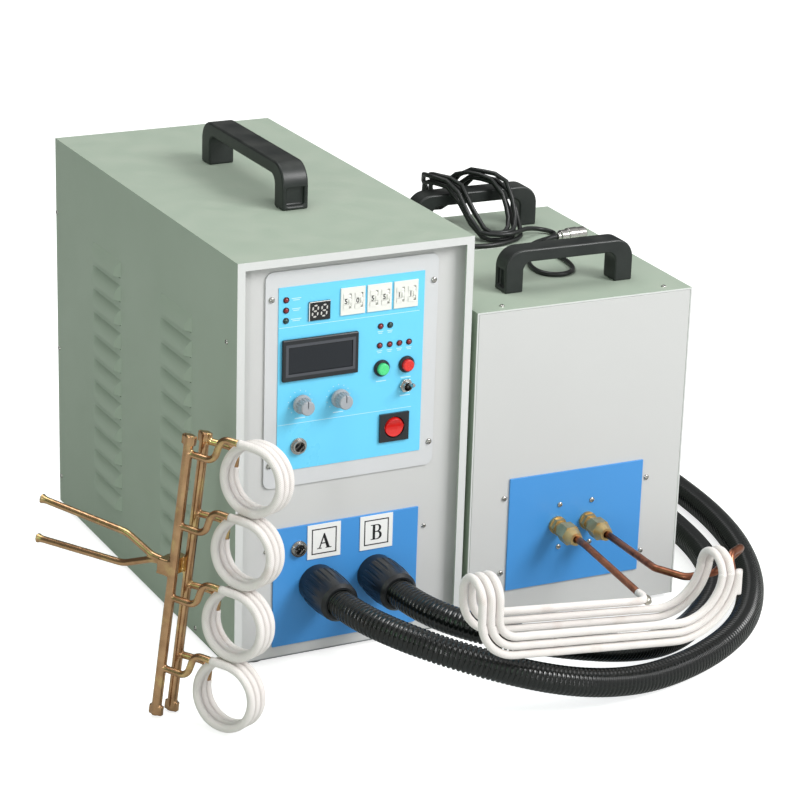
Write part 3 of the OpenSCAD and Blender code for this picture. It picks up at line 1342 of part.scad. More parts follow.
module spare_manifold() color("darkgoldenrod") on_spare() {
  pinched_tube(mani_a);
  pinched_tube(mani_b);
  for (k = [0:3]) let (z = ring_mid(k)) {
    lead_tube([[mani_a[0], mani_a[1], z + lead_lift, 0, 0],
      [ring_x * lead_knee_share[0], mani_a[1], z + lead_lift, mani_dia, arc_steps],
      [ring_x * lead_knee_share[1], mani_a[1], z + ring_r, mani_dia, arc_steps],
      [lead_start, mani_a[1], z + ring_r, 0, 0]], lead_dia);
    lead_tube([[ring_end_x, ring_end_y, z + ring_end_z, 0, 0],
      [ring_end_x, ring_end_y, z + lead_lift + mani_dia, mani_dia, arc_steps],
      [mani_b[0], mani_b[1], z + lead_lift + mani_dia, 0, 0]], lead_dia);
  }
  translate([-tee_w, -mani_gap / 2 - mani_dia / 2, tee_z - tee_w / 2]) cube([tee_w, mani_gap + mani_dia, tee_w]);
  for (s = [-1, 1]) lead_tube([[-tee_w / 2, 0, tee_z, 0, 0],
    [-tee_w * 2, 0, tee_z + s * mani_dia * 0.2, tee_w, arc_steps],
    [-tee_w * 4, 0, tee_z + s * tee_w, tee_w * 2, arc_steps],
    [-mani_len * lead_out_share, 0, tee_z + s * tee_w * 1.3, 0, 0]], lead_dia);
}
lead_knee_share = [0.42, 0.5];
lead_out_share = 0.58;
ring_end_a = 90 - 360 * turns;
ring_end_x = ring_x + ring_r * cos(ring_end_a);
ring_end_y = mani_a[1] + turn_pitch * (ring_off_share + turns);
ring_end_z = ring_r * sin(ring_end_a);

// ---- stowed signal lead, drawn on the transformer's top ----

lead_x = 30;
lead_z = -93;
relief_shares = [1, 1.6, 1.2, 3.5];

module on_lid() on_unit() translate([0, 0, unit_top]) children();

module lead_gland() color("#202020") on_lid() translate([lead_x, unit_d, lead_z]) rotate([-90, 0, 0])
  rotate_extrude() polygon([[0, -panel_t - cord_dia], [cord_dia, -panel_t - cord_dia], [cord_dia, 0],
    [cord_dia * relief_shares[1], 0], [cord_dia * relief_shares[1], cord_dia * relief_shares[2]],
    [cord_dia * relief_shares[0], cord_dia * relief_shares[3]], [0, cord_dia * relief_shares[3]]]);

// The hank's loops in plan: spiralling in on one layer and out again on the next
hank_at = [150, 205];
hank_turn = 33;
hank_step_share = 1.46;
hank_step = cord_dia * hank_step_share;
hank_steps = 24;
hank_layer_share = 1.5;
hank_layer = cord_dia * hank_layer_share;
// Height of the lowest strands over the lid, and over the rear handle's bar
drape = [[205, 2.7], [214, 2.7], [224, 9], [234, 24], [243, 41], [249, 50], [256, 53.5],
  [267, 54], [278, 53.5], [285, 49], [291, 40], [297, 29], [304, 16], [320, -14]];

// A point of a long loop of half width w: f runs from 0 to 1 from its near end's middle,
// a sixth of it on each quarter bend and on each straight run
function long_loop(f, w) = let (run = hank_len - hank_w - hank_step * hank_n, s = f * 6,
  far = w + run)
  s < 1 ? [sin(90 * s) * w, w - cos(90 * s) * w]
  : s < 2 ? [w, w + run * (s - 1)]
  : s < 4 ? [cos(90 * (s - 2)) * w, far + sin(90 * (s - 2)) * w]
  : s < 5 ? [-w, far - run * (s - 4)]
  : [-cos(90 * (s - 5)) * w, w - sin(90 * (s - 5)) * w];

function hank_path() = let (n = hank_n * hank_steps) [for (i = [0:n]) let (t = i / hank_steps,
  k = abs(t - hank_n / 2), w = hank_w / 2 + hank_step * k, g = long_loop(t - floor(t), w),
  y = g[1] + (hank_n / 2 - k) * hank_step,
  up = hank_layer * max(0, min(1, t - hank_n / 2 + 0.5)),
  u = hank_at[0] + g[0] * cos(hank_turn) - y * sin(hank_turn),
  v = hank_at[1] + g[0] * sin(hank_turn) + y * cos(hank_turn),
  slope = (lookup(v + over, drape) - lookup(v - over, drape)) / over / 2)
  [u, v, lookup(v, drape) + up * sqrt(1 + slope * slope)]];

echo(str("hank rings ", len(hank_path()), ", least gap to itself ",
  self_gap(even(hank_path(), len(hank_path()) * 3), cord_dia, 9)));

module lead_hank() color("#1d1d1d") on_lid()
  tube(hank_path(), [for (p = hank_path()) cord_dia / 2], 6);

// Signal plug: shell, coupling ring and rubber end, lying on the lid
plug_at = [186, 183.5];
plug_turn = 6;
module lead_plug() color("silver") on_lid() translate([plug_at[0], plug_at[1], plug_dia / 2]) rotate([0, 0, plug_turn])
  rotate([0, 90, 0]) rotate_extrude() polygon([for (s = plug_shares) [plug_dia * s[0], plug_len * s[1]]]);
plug_shares = [[0, 0], [0.26, 0], [0.3, 0.12], [0.42, 0.16], [0.42, 0.5], [0.5, 0.54], [0.5, 1],
  [0.46, 1.04], [0.46, 1.4], [0.4, 1.46], [0, 1.46]];

route_gland = [[30, 316, -93], [30, 330.5, -93], [30, 345, -92], [30, 362, -82], [30, 370, -62],
  [30, 371, -38], [30, 367, -14], [31, 354, 1], [33, 334, 5], [36, 314, 3], [38, 290, 2.7],
  [41, 262, 2.7], [49, 235, 2.7], [66, 211, 2.7], [90, 195, 2.7], [117, 191, 2.7], [138, 198, 2.7],
  [150, 205, 2.7], [162, 212, 2.7]];
route_plug = [[139, 198, 10.2], [150, 205, 10.2], [161, 212, 10.2], [173, 219, 8], [188, 223, 4.5],
  [199, 213, 2.7], [193, 199, 2.7], [177, 193, 2.7], [158, 185, 2.7], [142, 168, 2.7], [130, 145, 2.7],
  [119, 120, 2.7], [115, 97, 2.7], [122, 80, 2.7], [140, 76, 2.7], [155, 87, 2.7], [161, 107, 2.7],
  [163, 128, 2.7], [161, 150, 2.7], [161, 168, 3.5], [168, 179, 5.5], [177, 182.5, 7.5],
  [186, 183.5, 7.5], [195, 184.5, 7.5]];

module lead_route(p, n) on_lid() tube(curve(p, n), [for (i = [0:n]) cord_dia / 2], 8);
module lead_run_gland() color("#1d1d1d") lead_route(route_gland, 34);
module lead_run_plug() color("#1d1d1d") lead_route(route_plug, 40);

cabinet_tray();
cabinet_cover();
cabinet_front();
cabinet_back();
cabinet_feet();
cabinet_handle();
control_frame();
control_panel();
meter_case();
meter_lens();
digit_display();
indicator_lamps();
digit_blocks();
digit_wheel_1();
digit_wheel_2();
digit_wheel_3();
digit_wheel_4();
digit_wheel_5();
digit_wheel_6();
button_bezels();
start_button();
stop_button();
knob_left();
knob_right();
toggle_body();
toggle_bat();
power_frame();
power_rocker();
signal_sockets();
outlet_plate();
port_tags();
front_glands();
fan_frame();
fan_rotor();
fan_guard();
water_spigots();
supply_inlet();
inner_chassis();
unit_tray();
unit_cover();
unit_front();
unit_back();
unit_feet();
unit_handle_front();
unit_handle_back();
terminal_plate();
rear_glands();
flare_unions();
hose_left();
hose_right();
coil_pipes();
saddle_coil();
spare_manifold();
spare_rings();
lead_gland();
lead_plug();
lead_run_gland();
lead_run_plug();
lead_hank();
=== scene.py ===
"""Looks of an induction heating machine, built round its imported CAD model.

Everything is in metres, in the CAD model's own frame: +X to the right seen
from the front, +Y to the back, +Z up, and the floor at zero.
"""
import json
import math

import bmesh
import bpy
from mathutils import Matrix, Vector, noise


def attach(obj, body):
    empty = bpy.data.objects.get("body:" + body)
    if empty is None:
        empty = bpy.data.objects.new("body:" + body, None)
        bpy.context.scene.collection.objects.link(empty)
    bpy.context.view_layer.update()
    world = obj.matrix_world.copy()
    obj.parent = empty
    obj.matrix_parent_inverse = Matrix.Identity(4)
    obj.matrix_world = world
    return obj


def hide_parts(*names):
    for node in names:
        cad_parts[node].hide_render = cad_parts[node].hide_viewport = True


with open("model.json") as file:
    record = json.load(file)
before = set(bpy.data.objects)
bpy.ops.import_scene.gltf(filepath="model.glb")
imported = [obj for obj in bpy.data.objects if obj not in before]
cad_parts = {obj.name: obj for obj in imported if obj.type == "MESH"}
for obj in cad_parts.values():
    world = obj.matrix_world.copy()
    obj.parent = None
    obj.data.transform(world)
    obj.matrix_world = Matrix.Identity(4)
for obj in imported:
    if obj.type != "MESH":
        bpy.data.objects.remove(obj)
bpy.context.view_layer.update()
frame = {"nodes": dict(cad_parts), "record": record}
NODES = frame["nodes"]
BODY_OF = {
    node: body
    for body, members in frame["record"]["behaviour"]["bodies"].items()
    for node in members
}
MM = 0.001

# ---------------------------------------------------------------- places
FACE_Y = -0.2343  # printed face of the control panel
FRAME_Y = -0.2335  # light frame round it
DECK_Y = -0.2315  # recessed front panel of the power cabinet
PLATE_Y = -0.2335  # blue outlet plate
CABINET_HALF = 0.125
REAR_Y = 0.2435
UNIT_CORNER = Vector((0.1329, -0.2408, 0.0))  # transformer cabinet, front left
UNIT_TURN = math.radians(-1.67)
UNIT_W, UNIT_D, UNIT_TOP = 0.244, 0.313, 0.343
HOSE_DIA = 0.0285
LEAD_DIA = 0.005
SLEEVE_DIA = 0.0082
RING_DIA = 0.0083

# Routes as in the CAD source, in millimetres
ROUTE_LEFT = [
    (-32, -226, 81), (-32, -250, 81), (-32, -274, 81), (-32, -300, 81),
    (-23, -342, 80), (6, -386, 73), (46, -418, 62), (89, -438, 49),
    (135, -445, 35), (183, -445, 24), (231, -438, 17), (278, -425, 15),
    (323, -407, 15), (365, -382, 15), (401, -351, 15), (432, -313, 15),
    (459, -272, 15), (481, -228, 15), (499, -183, 15), (512, -136, 15),
    (521, -89, 15), (526, -41, 15), (529, 8, 15), (533, 56, 15),
    (536, 105, 15), (536, 155, 15), (528, 203, 15), (508, 246, 15),
    (476, 283, 18), (434, 308, 21), (386, 320, 27), (336, 318, 32),
    (290, 302, 37), (251, 274, 42), (222, 235, 45), (206, 192, 46),
    (201, 150, 46), (200, 122, 46), (199, 92, 46), (198, 62, 46),
]
ROUTE_RIGHT = [
    (32, -226, 81), (32, -250, 81), (32, -274, 81), (32, -302, 81),
    (41, -345, 80), (68, -383, 76), (106, -407, 69), (148, -415, 59),
    (190, -413, 47), (231, -403, 35), (270, -388, 25), (308, -366, 17),
    (346, -340, 15), (382, -309, 15), (413, -273, 15), (436, -231, 15),
    (452, -186, 15), (461, -139, 15), (467, -91, 15), (470, -43, 15),
    (474, 5, 15), (481, 53, 15), (489, 102, 15), (493, 153, 15),
    (485, 205, 15), (460, 252, 17), (417, 282, 22), (364, 291, 29),
    (313, 276, 37), (275, 241, 43), (256, 193, 46), (252, 150, 46),
    (252, 122, 46), (251, 92, 46), (250, 62, 46),
]
# The signal lead on the transformer's lid, in the lid's own frame
ROUTE_GLAND = [
    (30, 316, -93), (30, 330.5, -93), (30, 345, -92), (30, 362, -82),
    (30, 370, -62), (30, 371, -38), (30, 367, -14), (31, 354, 1),
    (33, 334, 5), (36, 314, 3), (38, 290, 2.7), (41, 262, 2.7),
    (49, 235, 2.7), (66, 211, 2.7), (90, 195, 2.7), (117, 191, 2.7),
    (138, 198, 2.7), (150, 205, 2.7), (162, 212, 2.7),
]
ROUTE_PLUG = [
    (139, 198, 10.2), (150, 205, 10.2), (161, 212, 10.2), (173, 219, 8),
    (188, 223, 4.5), (199, 213, 2.7), (193, 199, 2.7), (177, 193, 2.7),
    (158, 185, 2.7), (142, 168, 2.7), (130, 145, 2.7), (119, 120, 2.7),
    (115, 97, 2.7), (122, 80, 2.7), (140, 76, 2.7), (155, 87, 2.7),
    (161, 107, 2.7), (163, 128, 2.7), (161, 150, 2.7), (161, 168, 3.5),
    (168, 179, 5.5), (177, 182.5, 7.5), (186, 183.5, 7.5), (195, 184.5, 7.5),
]
# Height of the hank's lowest strands over the lid, by the lid's depth
DRAPE = [
    (205, 2.7), (214, 2.7), (224, 9), (234, 24), (243, 41), (249, 50),
    (256, 53.5), (267, 54), (278, 53.5), (285, 49), (291, 40), (297, 29),
    (304, 16), (320, -14),
]
HANK_AT, HANK_TURN = (150, 205), math.radians(33)
HANK_LOOPS, HANK_STEPS, HANK_LEN, HANK_W = 4, 24, 118, 30
HANK_STEP, HANK_LAYER = 5 * 1.46, 5 * 1.5


def on_unit(u, v, z):
    """A point given from the transformer cabinet's front left corner, in mm."""
    c, s = math.cos(UNIT_TURN), math.sin(UNIT_TURN)
    return UNIT_CORNER + Vector((u * c - v * s, u * s + v * c, z)) * MM


def on_lid(p):
    return on_unit(p[0], p[1], p[2] + UNIT_TOP / MM)


def spline(points, count):
    """Points of the uniform cubic B-spline that the CAD source uses."""
    p = [Vector(q) for q in points]
    out = []
    for i in range(count + 1):
        t = (len(p) - 3) * i / count
        k = min(int(t), len(p) - 4)
        s = t - k
        w = (
            (1 - s) ** 3, 3 * s**3 - 6 * s**2 + 4,
            -3 * s**3 + 3 * s**2 + 3 * s + 1, s**3,
        )
        out.append(sum((p[k + j] * w[j] / 6 for j in range(4)), Vector()))
    return out


def drape_height(v):
    if v <= DRAPE[0][0]:
        return DRAPE[0][1]
    for (v0, h0), (v1, h1) in zip(DRAPE, DRAPE[1:]):
        if v <= v1:
            return h0 + (h1 - h0) * (v - v0) / (v1 - v0)
    return DRAPE[-1][1]


def long_loop(f, w):
    """A point of one loop of the hank: quarter bends and straight runs."""
    run = HANK_LEN - HANK_W - HANK_STEP * HANK_LOOPS
    s, far = f * 6, w + run
    q = math.pi / 2
    if s < 1:
        return math.sin(q * s) * w, w - math.cos(q * s) * w
    if s < 2:
        return w, w + run * (s - 1)
    if s < 4:
        return math.cos(q * (s - 2)) * w, far + math.sin(q * (s - 2)) * w
    if s < 5:
        return -w, far - run * (s - 4)
    return -math.cos(q * (s - 5)) * w, w - math.sin(q * (s - 5)) * w


def hank_points():
    out = []
    for i in range(HANK_LOOPS * HANK_STEPS + 1):
        t = i / HANK_STEPS
        k = abs(t - HANK_LOOPS / 2)
        x, y = long_loop(t - math.floor(t), HANK_W / 2 + HANK_STEP * k)
        y += (HANK_LOOPS / 2 - k) * HANK_STEP
        up = HANK_LAYER * max(0, min(1, t - HANK_LOOPS / 2 + 0.5))
        u = HANK_AT[0] + x * math.cos(HANK_TURN) - y * math.sin(HANK_TURN)
        v = HANK_AT[1] + x * math.sin(HANK_TURN) + y * math.cos(HANK_TURN)
        slope = (drape_height(v + 1) - drape_height(v - 1)) / 2
        out.append(Vector((u, v, drape_height(v) + up * math.sqrt(1 + slope**2))))
    return out


# ---------------------------------------------------------------- camera, light and floor
# The photograph's own view, fitted to the cabinets' corners
CAMERA_AT = (-1.1239, -2.5029, 1.1961)
CAMERA_TURN, CAMERA_RISE, CAMERA_ROLL = (math.radians(a) for a in (-27.43, 20.08, 1.755))
LENS_MM, SENSOR_MM, CAMERA_FAR = 125.2, 36, 50
# The room: brightest towards SKY_TOWARD, and white where the camera sees it
SKY_TOWARD, SKY_DARK, SKY_BRIGHT = (0.35, -0.76, 0.55), 0.13, 0.72
SKY_SEEN, FLOOR_SEEN = 0.9, 0.78
FLOOR_REACH, FLOOR_Z = 4.0, -0.0006


def placed(name, data):
    """A new object, in the scene."""
    made = bpy.data.objects.new(name, data)
    bpy.context.scene.collection.objects.link(made)
    return made


def aim_camera():
    turn, rise, roll = CAMERA_TURN, CAMERA_RISE, CAMERA_ROLL
    back = Vector((
        math.sin(turn) * math.cos(rise), -math.cos(turn) * math.cos(rise), math.sin(rise)
    ))
    right = Vector((math.cos(turn), math.sin(turn), 0))
    up = back.cross(right)
    across = right * math.cos(roll) + up * math.sin(roll)
    upright = up * math.cos(roll) - right * math.sin(roll)
    camera = placed("camera", bpy.data.cameras.new("camera"))
    camera.data.sensor_width, camera.data.lens = SENSOR_MM, LENS_MM
    camera.data.clip_end = CAMERA_FAR
    camera.matrix_world = Matrix.Translation(CAMERA_AT) @ (
        Matrix((across, upright, back)).transposed().to_4x4()
    )
    bpy.context.scene.camera = camera


def add(tree, kind, inputs=None, **settings):
    """A node in a tree, with values or links on its inputs."""
    made = tree.nodes.new(kind)
    for name, value in settings.items():
        setattr(made, name, value)
    for socket, value in (inputs or {}).items():
        if isinstance(value, bpy.types.NodeSocket):
            tree.links.new(value, made.inputs[socket])
        else:
            made.inputs[socket].default_value = value
    return made


def calc(tree, operation, *values, **settings):
    """What a maths node makes of values or sockets."""
    return add(tree, "ShaderNodeMath", dict(enumerate(values)), operation=operation,
               **settings).outputs[0]


def ramped(tree, value, low, high, start=0.0, end=1.0, **settings):
    """A value mapped from start and end to low and high."""
    return add(tree, "ShaderNodeMapRange", {"Value": value, "From Min": start, "From Max": end,
                                            "To Min": low, "To Max": high}, **settings).outputs[0]


# Soft boxes: name, place, aim, size, watts and tint
SOFT_BOXES = (
    ("key", (1.9, -2.6, 2.7), (0.15, -0.1, 0.2), (1.8, 1.4), 113),
    ("overhead", (-0.2, 0.5, 2.6), (0.1, 0.0, 0.3), (1.6, 1.6), 22),
    ("side", (-3.0, -1.2, 1.6), (0.0, -0.1, 0.25), (1.2, 1.6), 7, (0.42, 1.0, 0.5)),
    ("strip", (-2.3, -2.7, 1.0), (0.0, -0.3, 0.2), (0.12, 2.2), 16),
)


def soft_box(name, place, aim, size, power, tint=(1, 1, 1)):
    light = bpy.data.lights.new(name, "AREA")
    light.shape, light.size, light.size_y, light.energy = "RECTANGLE", *size, power
    light.color = tint
    placed(name, light).matrix_world = Matrix.Translation(place) @ (
        (Vector(aim) - Vector(place)).to_track_quat("-Z", "Y").to_matrix().to_4x4()
    )


def white_to_camera(tree, lit, strength):
    """Adds white for what the camera sees straight, and nothing to the light."""
    path = add(tree, "ShaderNodeLightPath").outputs
    seen = calc(tree, "MAXIMUM", path["Is Camera Ray"], path["Is Transmission Ray"])
    glow = add(tree, "ShaderNodeEmission", {"Color": (1, 1, 1, 1), "Strength": strength})
    none = add(tree, "ShaderNodeEmission", {"Strength": 0.0})
    pick = add(tree, "ShaderNodeMixShader", {0: seen, 1: none.outputs[0], 2: glow.outputs[0]})
    return add(tree, "ShaderNodeAddShader", {0: lit, 1: pick.outputs[0]}).outputs[0]


def light_the_stage():
    scene = bpy.context.scene
    scene.view_settings.view_transform = "Standard"
    world = bpy.data.worlds.new("studio")
    scene.world = world
    world.use_nodes = True
    tree = world.node_tree
    tree.nodes.clear()
    look = add(tree, "ShaderNodeTexCoord").outputs["Generated"]
    toward = add(tree, "ShaderNodeVectorMath", {0: look, 1: SKY_TOWARD}, operation="DOT_PRODUCT")
    level = ramped(tree, toward.outputs["Value"], SKY_DARK, SKY_BRIGHT, -0.3, 0.9,
                   interpolation_type="SMOOTHSTEP")
    sky = add(tree, "ShaderNodeBackground", {"Color": (1, 1, 1, 1), "Strength": level})
    out = add(tree, "ShaderNodeOutputWorld")
    tree.links.new(white_to_camera(tree, sky.outputs[0], SKY_SEEN), out.inputs["Surface"])
    for box in SOFT_BOXES:
        soft_box(*box)

    floor = bpy.data.meshes.new("floor")
    floor.from_pydata([(x * FLOOR_REACH, y * FLOOR_REACH, FLOOR_Z)
                       for x, y in ((-1, -1), (1, -1), (1, 1), (-1, 1))], [], [(0, 1, 2, 3)])
    ground = placed("floor", floor)
    paper = bpy.data.materials.new("paper_floor")
    paper.use_nodes = True
    tree = paper.node_tree
    tree.nodes.clear()
    lit = add(tree, "ShaderNodeBsdfDiffuse", {"Color": (0.55, 0.57, 0.55, 1)})
    out = add(tree, "ShaderNodeOutputMaterial")
    tree.links.new(white_to_camera(tree, lit.outputs[0], FLOOR_SEEN), out.inputs["Surface"])
    floor.materials.append(paper)


aim_camera()
light_the_stage()


# ---------------------------------------------------------------- shader groups
def srgb(red, green, blue):
    """A colour as it is seen, 0 to 255, as the shader wants it."""
    def linear(c):
        c /= 255
        return c / 12.92 if c <= 0.04045 else ((c + 0.055) / 1.055) ** 2.4
    return linear(red), linear(green), linear(blue), 1.0


def new_group(name, inputs, outputs):
    """An empty shader group, with the sockets of its two ends."""
    group = bpy.data.node_groups.new(name, "ShaderNodeTree")
    for label, kind, value in inputs:
        group.interface.new_socket(label, in_out="INPUT", socket_type=kind).default_value = value
    for label, kind in outputs:
        group.interface.new_socket(label, in_out="OUTPUT", socket_type=kind)
    return group, add(group, "NodeGroupInput").outputs, add(group, "NodeGroupOutput").inputs


def noisy(tree, scale, detail, place=None, roughness=0.5):
    """Noise over the object's own space, or over another place."""
    if place is None:
        place = add(tree, "ShaderNodeTexCoord").outputs["Object"]
    return add(tree, "ShaderNodeTexNoise", {"Vector": place, "Scale": scale, "Detail": detail,
                                            "Roughness": roughness}).outputs["Fac"]


NUMBER, VECTOR = "NodeSocketFloat", "NodeSocketVector"


def make_grain_group():
    """Fine bumps of a coating or moulding, and a slow mottle over it."""
    group, given, out = new_group(
        "surface_grain",
        [("Grain Size", NUMBER, 0.001), ("Grain Depth", NUMBER, 0.00005),
         ("Mottle Size", NUMBER, 0.05), ("Stretch", VECTOR, (1, 1, 1))],
        [("Mottle", NUMBER), ("Normal", VECTOR)])
    place = add(group, "ShaderNodeTexCoord").outputs["Object"]
    place = add(group, "ShaderNodeVectorMath", {0: place, 1: given["Stretch"]},
                operation="MULTIPLY").outputs[0]
    fine, slow = (noisy(group, calc(group, "DIVIDE", 1.0, given[size]), detail, place)
                  for size, detail in (("Grain Size", 2.0), ("Mottle Size", 4.0)))
    bump = add(group, "ShaderNodeBump",
               {"Height": fine, "Distance": given["Grain Depth"], "Strength": 1.0})
    group.links.new(ramped(group, slow, 0.0, 1.0, 0.3, 0.7), out["Mottle"])
    group.links.new(bump.outputs[0], out["Normal"])
    return group


def make_dust_group():
    """A thin film of dust: more on what faces up, broken by noise."""
    group, given, out = new_group(
        "dust_film", [("Amount", NUMBER, 0.2), ("Patch Size", NUMBER, 0.03)], [("Mask", NUMBER)])
    up = add(group, "ShaderNodeSeparateXYZ",
             {0: add(group, "ShaderNodeNewGeometry").outputs["Normal"]}).outputs["Z"]
    patch = noisy(group, calc(group, "DIVIDE", 1.0, given["Patch Size"]), 5.0)
    mask = calc(group, "MULTIPLY", ramped(group, up, 0.25, 1.0, 0.1, 1.0),
                ramped(group, patch, 0.0, 1.0, 0.4, 0.75))
    group.links.new(calc(group, "MULTIPLY", mask, given["Amount"]), out["Mask"])
    return group


def make_braid_group():
    """Woven sleeving along a tube, from its UV: metres along, turns round."""
    group, given, out = new_group(
        "braided_sleeve",
        [("Pick", NUMBER, 0.0016), ("Strands", NUMBER, 10.0), ("Depth", NUMBER, 0.0001)],
        [("Height", NUMBER), ("Normal", VECTOR)])
    uv = add(group, "ShaderNodeSeparateXYZ",
             {0: add(group, "ShaderNodeTexCoord").outputs["UV"]}).outputs
    along = calc(group, "DIVIDE", uv["X"], given["Pick"])
    around = calc(group, "MULTIPLY", uv["Y"], given["Strands"])
    phases = (calc(group, way, along, around) for way in ("ADD", "SUBTRACT"))
    height = calc(group, "MAXIMUM", *(
        calc(group, "SINE", calc(group, "MULTIPLY", phase, math.tau)) for phase in phases))
    bump = add(group, "ShaderNodeBump", {"Height": height, "Distance": given["Depth"]})
    group.links.new(height, out["Height"])
    group.links.new(bump.outputs[0], out["Normal"])
    return group


GRAIN, DUST, BRAID = make_grain_group(), make_dust_group(), make_braid_group()


def mixed(tree, mask, below, above):
    """One colour laid over another by a mask."""
    return add(tree, "ShaderNodeMix", {0: mask, 6: below, 7: above}, data_type="RGBA").outputs[2]


def darker(colour, share):
    return tuple(c * share for c in colour[:3]) + (1.0,)


def finish(name, colour, rough, metal=0.0, grain=(0.0012, 0.00002), mottle=(0.06, 0.04),
           second=None, dust=0.0, stretch=(1, 1, 1), sockets=None, layer=None):
    """A material: base colour with a slow mottle towards a second one, fine
    grain in its normal, roughness that follows both, and a film of dust.

    mottle is (patch size, how much of the second colour shows). layer may add
    a colour of its own over the base: it gets the tree and returns mask, colour.
    """
    made = bpy.data.materials.new(name)
    made.use_nodes = True
    made.diffuse_color = colour
    tree = made.node_tree
    shader = tree.nodes["Principled BSDF"].inputs
    shader["Metallic"].default_value = metal
    texture = add(tree, "ShaderNodeGroup", {
        "Grain Size": grain[0], "Grain Depth": grain[1], "Mottle Size": mottle[0],
        "Stretch": stretch}, node_tree=GRAIN).outputs
    base = mixed(tree, ramped(tree, texture["Mottle"], 0.0, mottle[1]), colour,
                 second or darker(colour, 0.72))
    if layer:
        mask, over = layer(tree)
        base = mixed(tree, mask, base, over)
    surface = ramped(tree, texture["Mottle"], rough * 0.88, min(1.0, rough * 1.12))
    if dust:
        film = add(tree, "ShaderNodeGroup", {"Amount": dust}, node_tree=DUST).outputs["Mask"]
        base = mixed(tree, film, base, srgb(196, 192, 182))
        surface = calc(tree, "ADD", surface, film, use_clamp=True)
    tree.links.new(base, shader["Base Color"])
    tree.links.new(surface, shader["Roughness"])
    tree.links.new(texture["Normal"], shader["Normal"])
    for socket, value in (sockets or {}).items():
        shader[socket].default_value = value
    return made


def pale_front_edge(tree):
    """Painted highlight on the cover's cut front edge and lips: faces that turn to the front get
    the front panels' pale grey.
    """
    normal = add(tree, "ShaderNodeNewGeometry").outputs["Normal"]
    depth = add(tree, "ShaderNodeSeparateXYZ", {0: normal}).outputs["Y"]
    return ramped(tree, depth, 0.0, 1.0, -0.6, -0.95), srgb(214, 215, 214)


def patchy(colour, scale, detail, most, start, end, roughness=0.5):
    """A layer of another colour in patches, where the noise is from start to end."""
    def layer(tree):
        return ramped(tree, noisy(tree, scale, detail, None, roughness), 0.0, most, start,
                      end), colour
    return layer


# Brighter, yellower metal where joints were brazed; dark oxide bands on a
# copper pipe; faint brown where sleeving has been handled and heated
BRAZED = patchy(srgb(222, 196, 136), 55.0, 6.0, 0.75, 0.52, 0.68)
HEATED = patchy(srgb(86, 48, 38), 28.0, 5.0, 0.85, 0.46, 0.66, 0.7)
SOILED = patchy(srgb(176, 140, 116), 30.0, 6.0, 0.35, 0.6, 0.78)


def woven(name, colour, pick, strands, depth, rough, layer=None):
    """Sleeving or a corded jacket: painted shade darkens the braid's low grooves, and the braid's
    height bumps it.
    """
    made = finish(name, colour, rough, mottle=(0.02, 0.25), layer=layer,
                  sockets={"Sheen Weight": 0.25, "Sheen Roughness": 0.6})
    tree = made.node_tree
    shader = tree.nodes["Principled BSDF"].inputs
    braid = add(tree, "ShaderNodeGroup", {"Pick": pick, "Strands": strands, "Depth": depth},
                node_tree=BRAID).outputs
    # Painted shade: the weave's low grooves are coloured darker.
    groove = ramped(tree, braid["Height"], 0.3, 0.0, -0.2, 0.6)
    before = shader["Base Color"].links[0].from_socket
    tree.links.new(mixed(tree, groove, before, darker(colour, 0.55)), shader["Base Color"])
    tree.links.new(braid["Normal"], shader["Normal"])
    return made


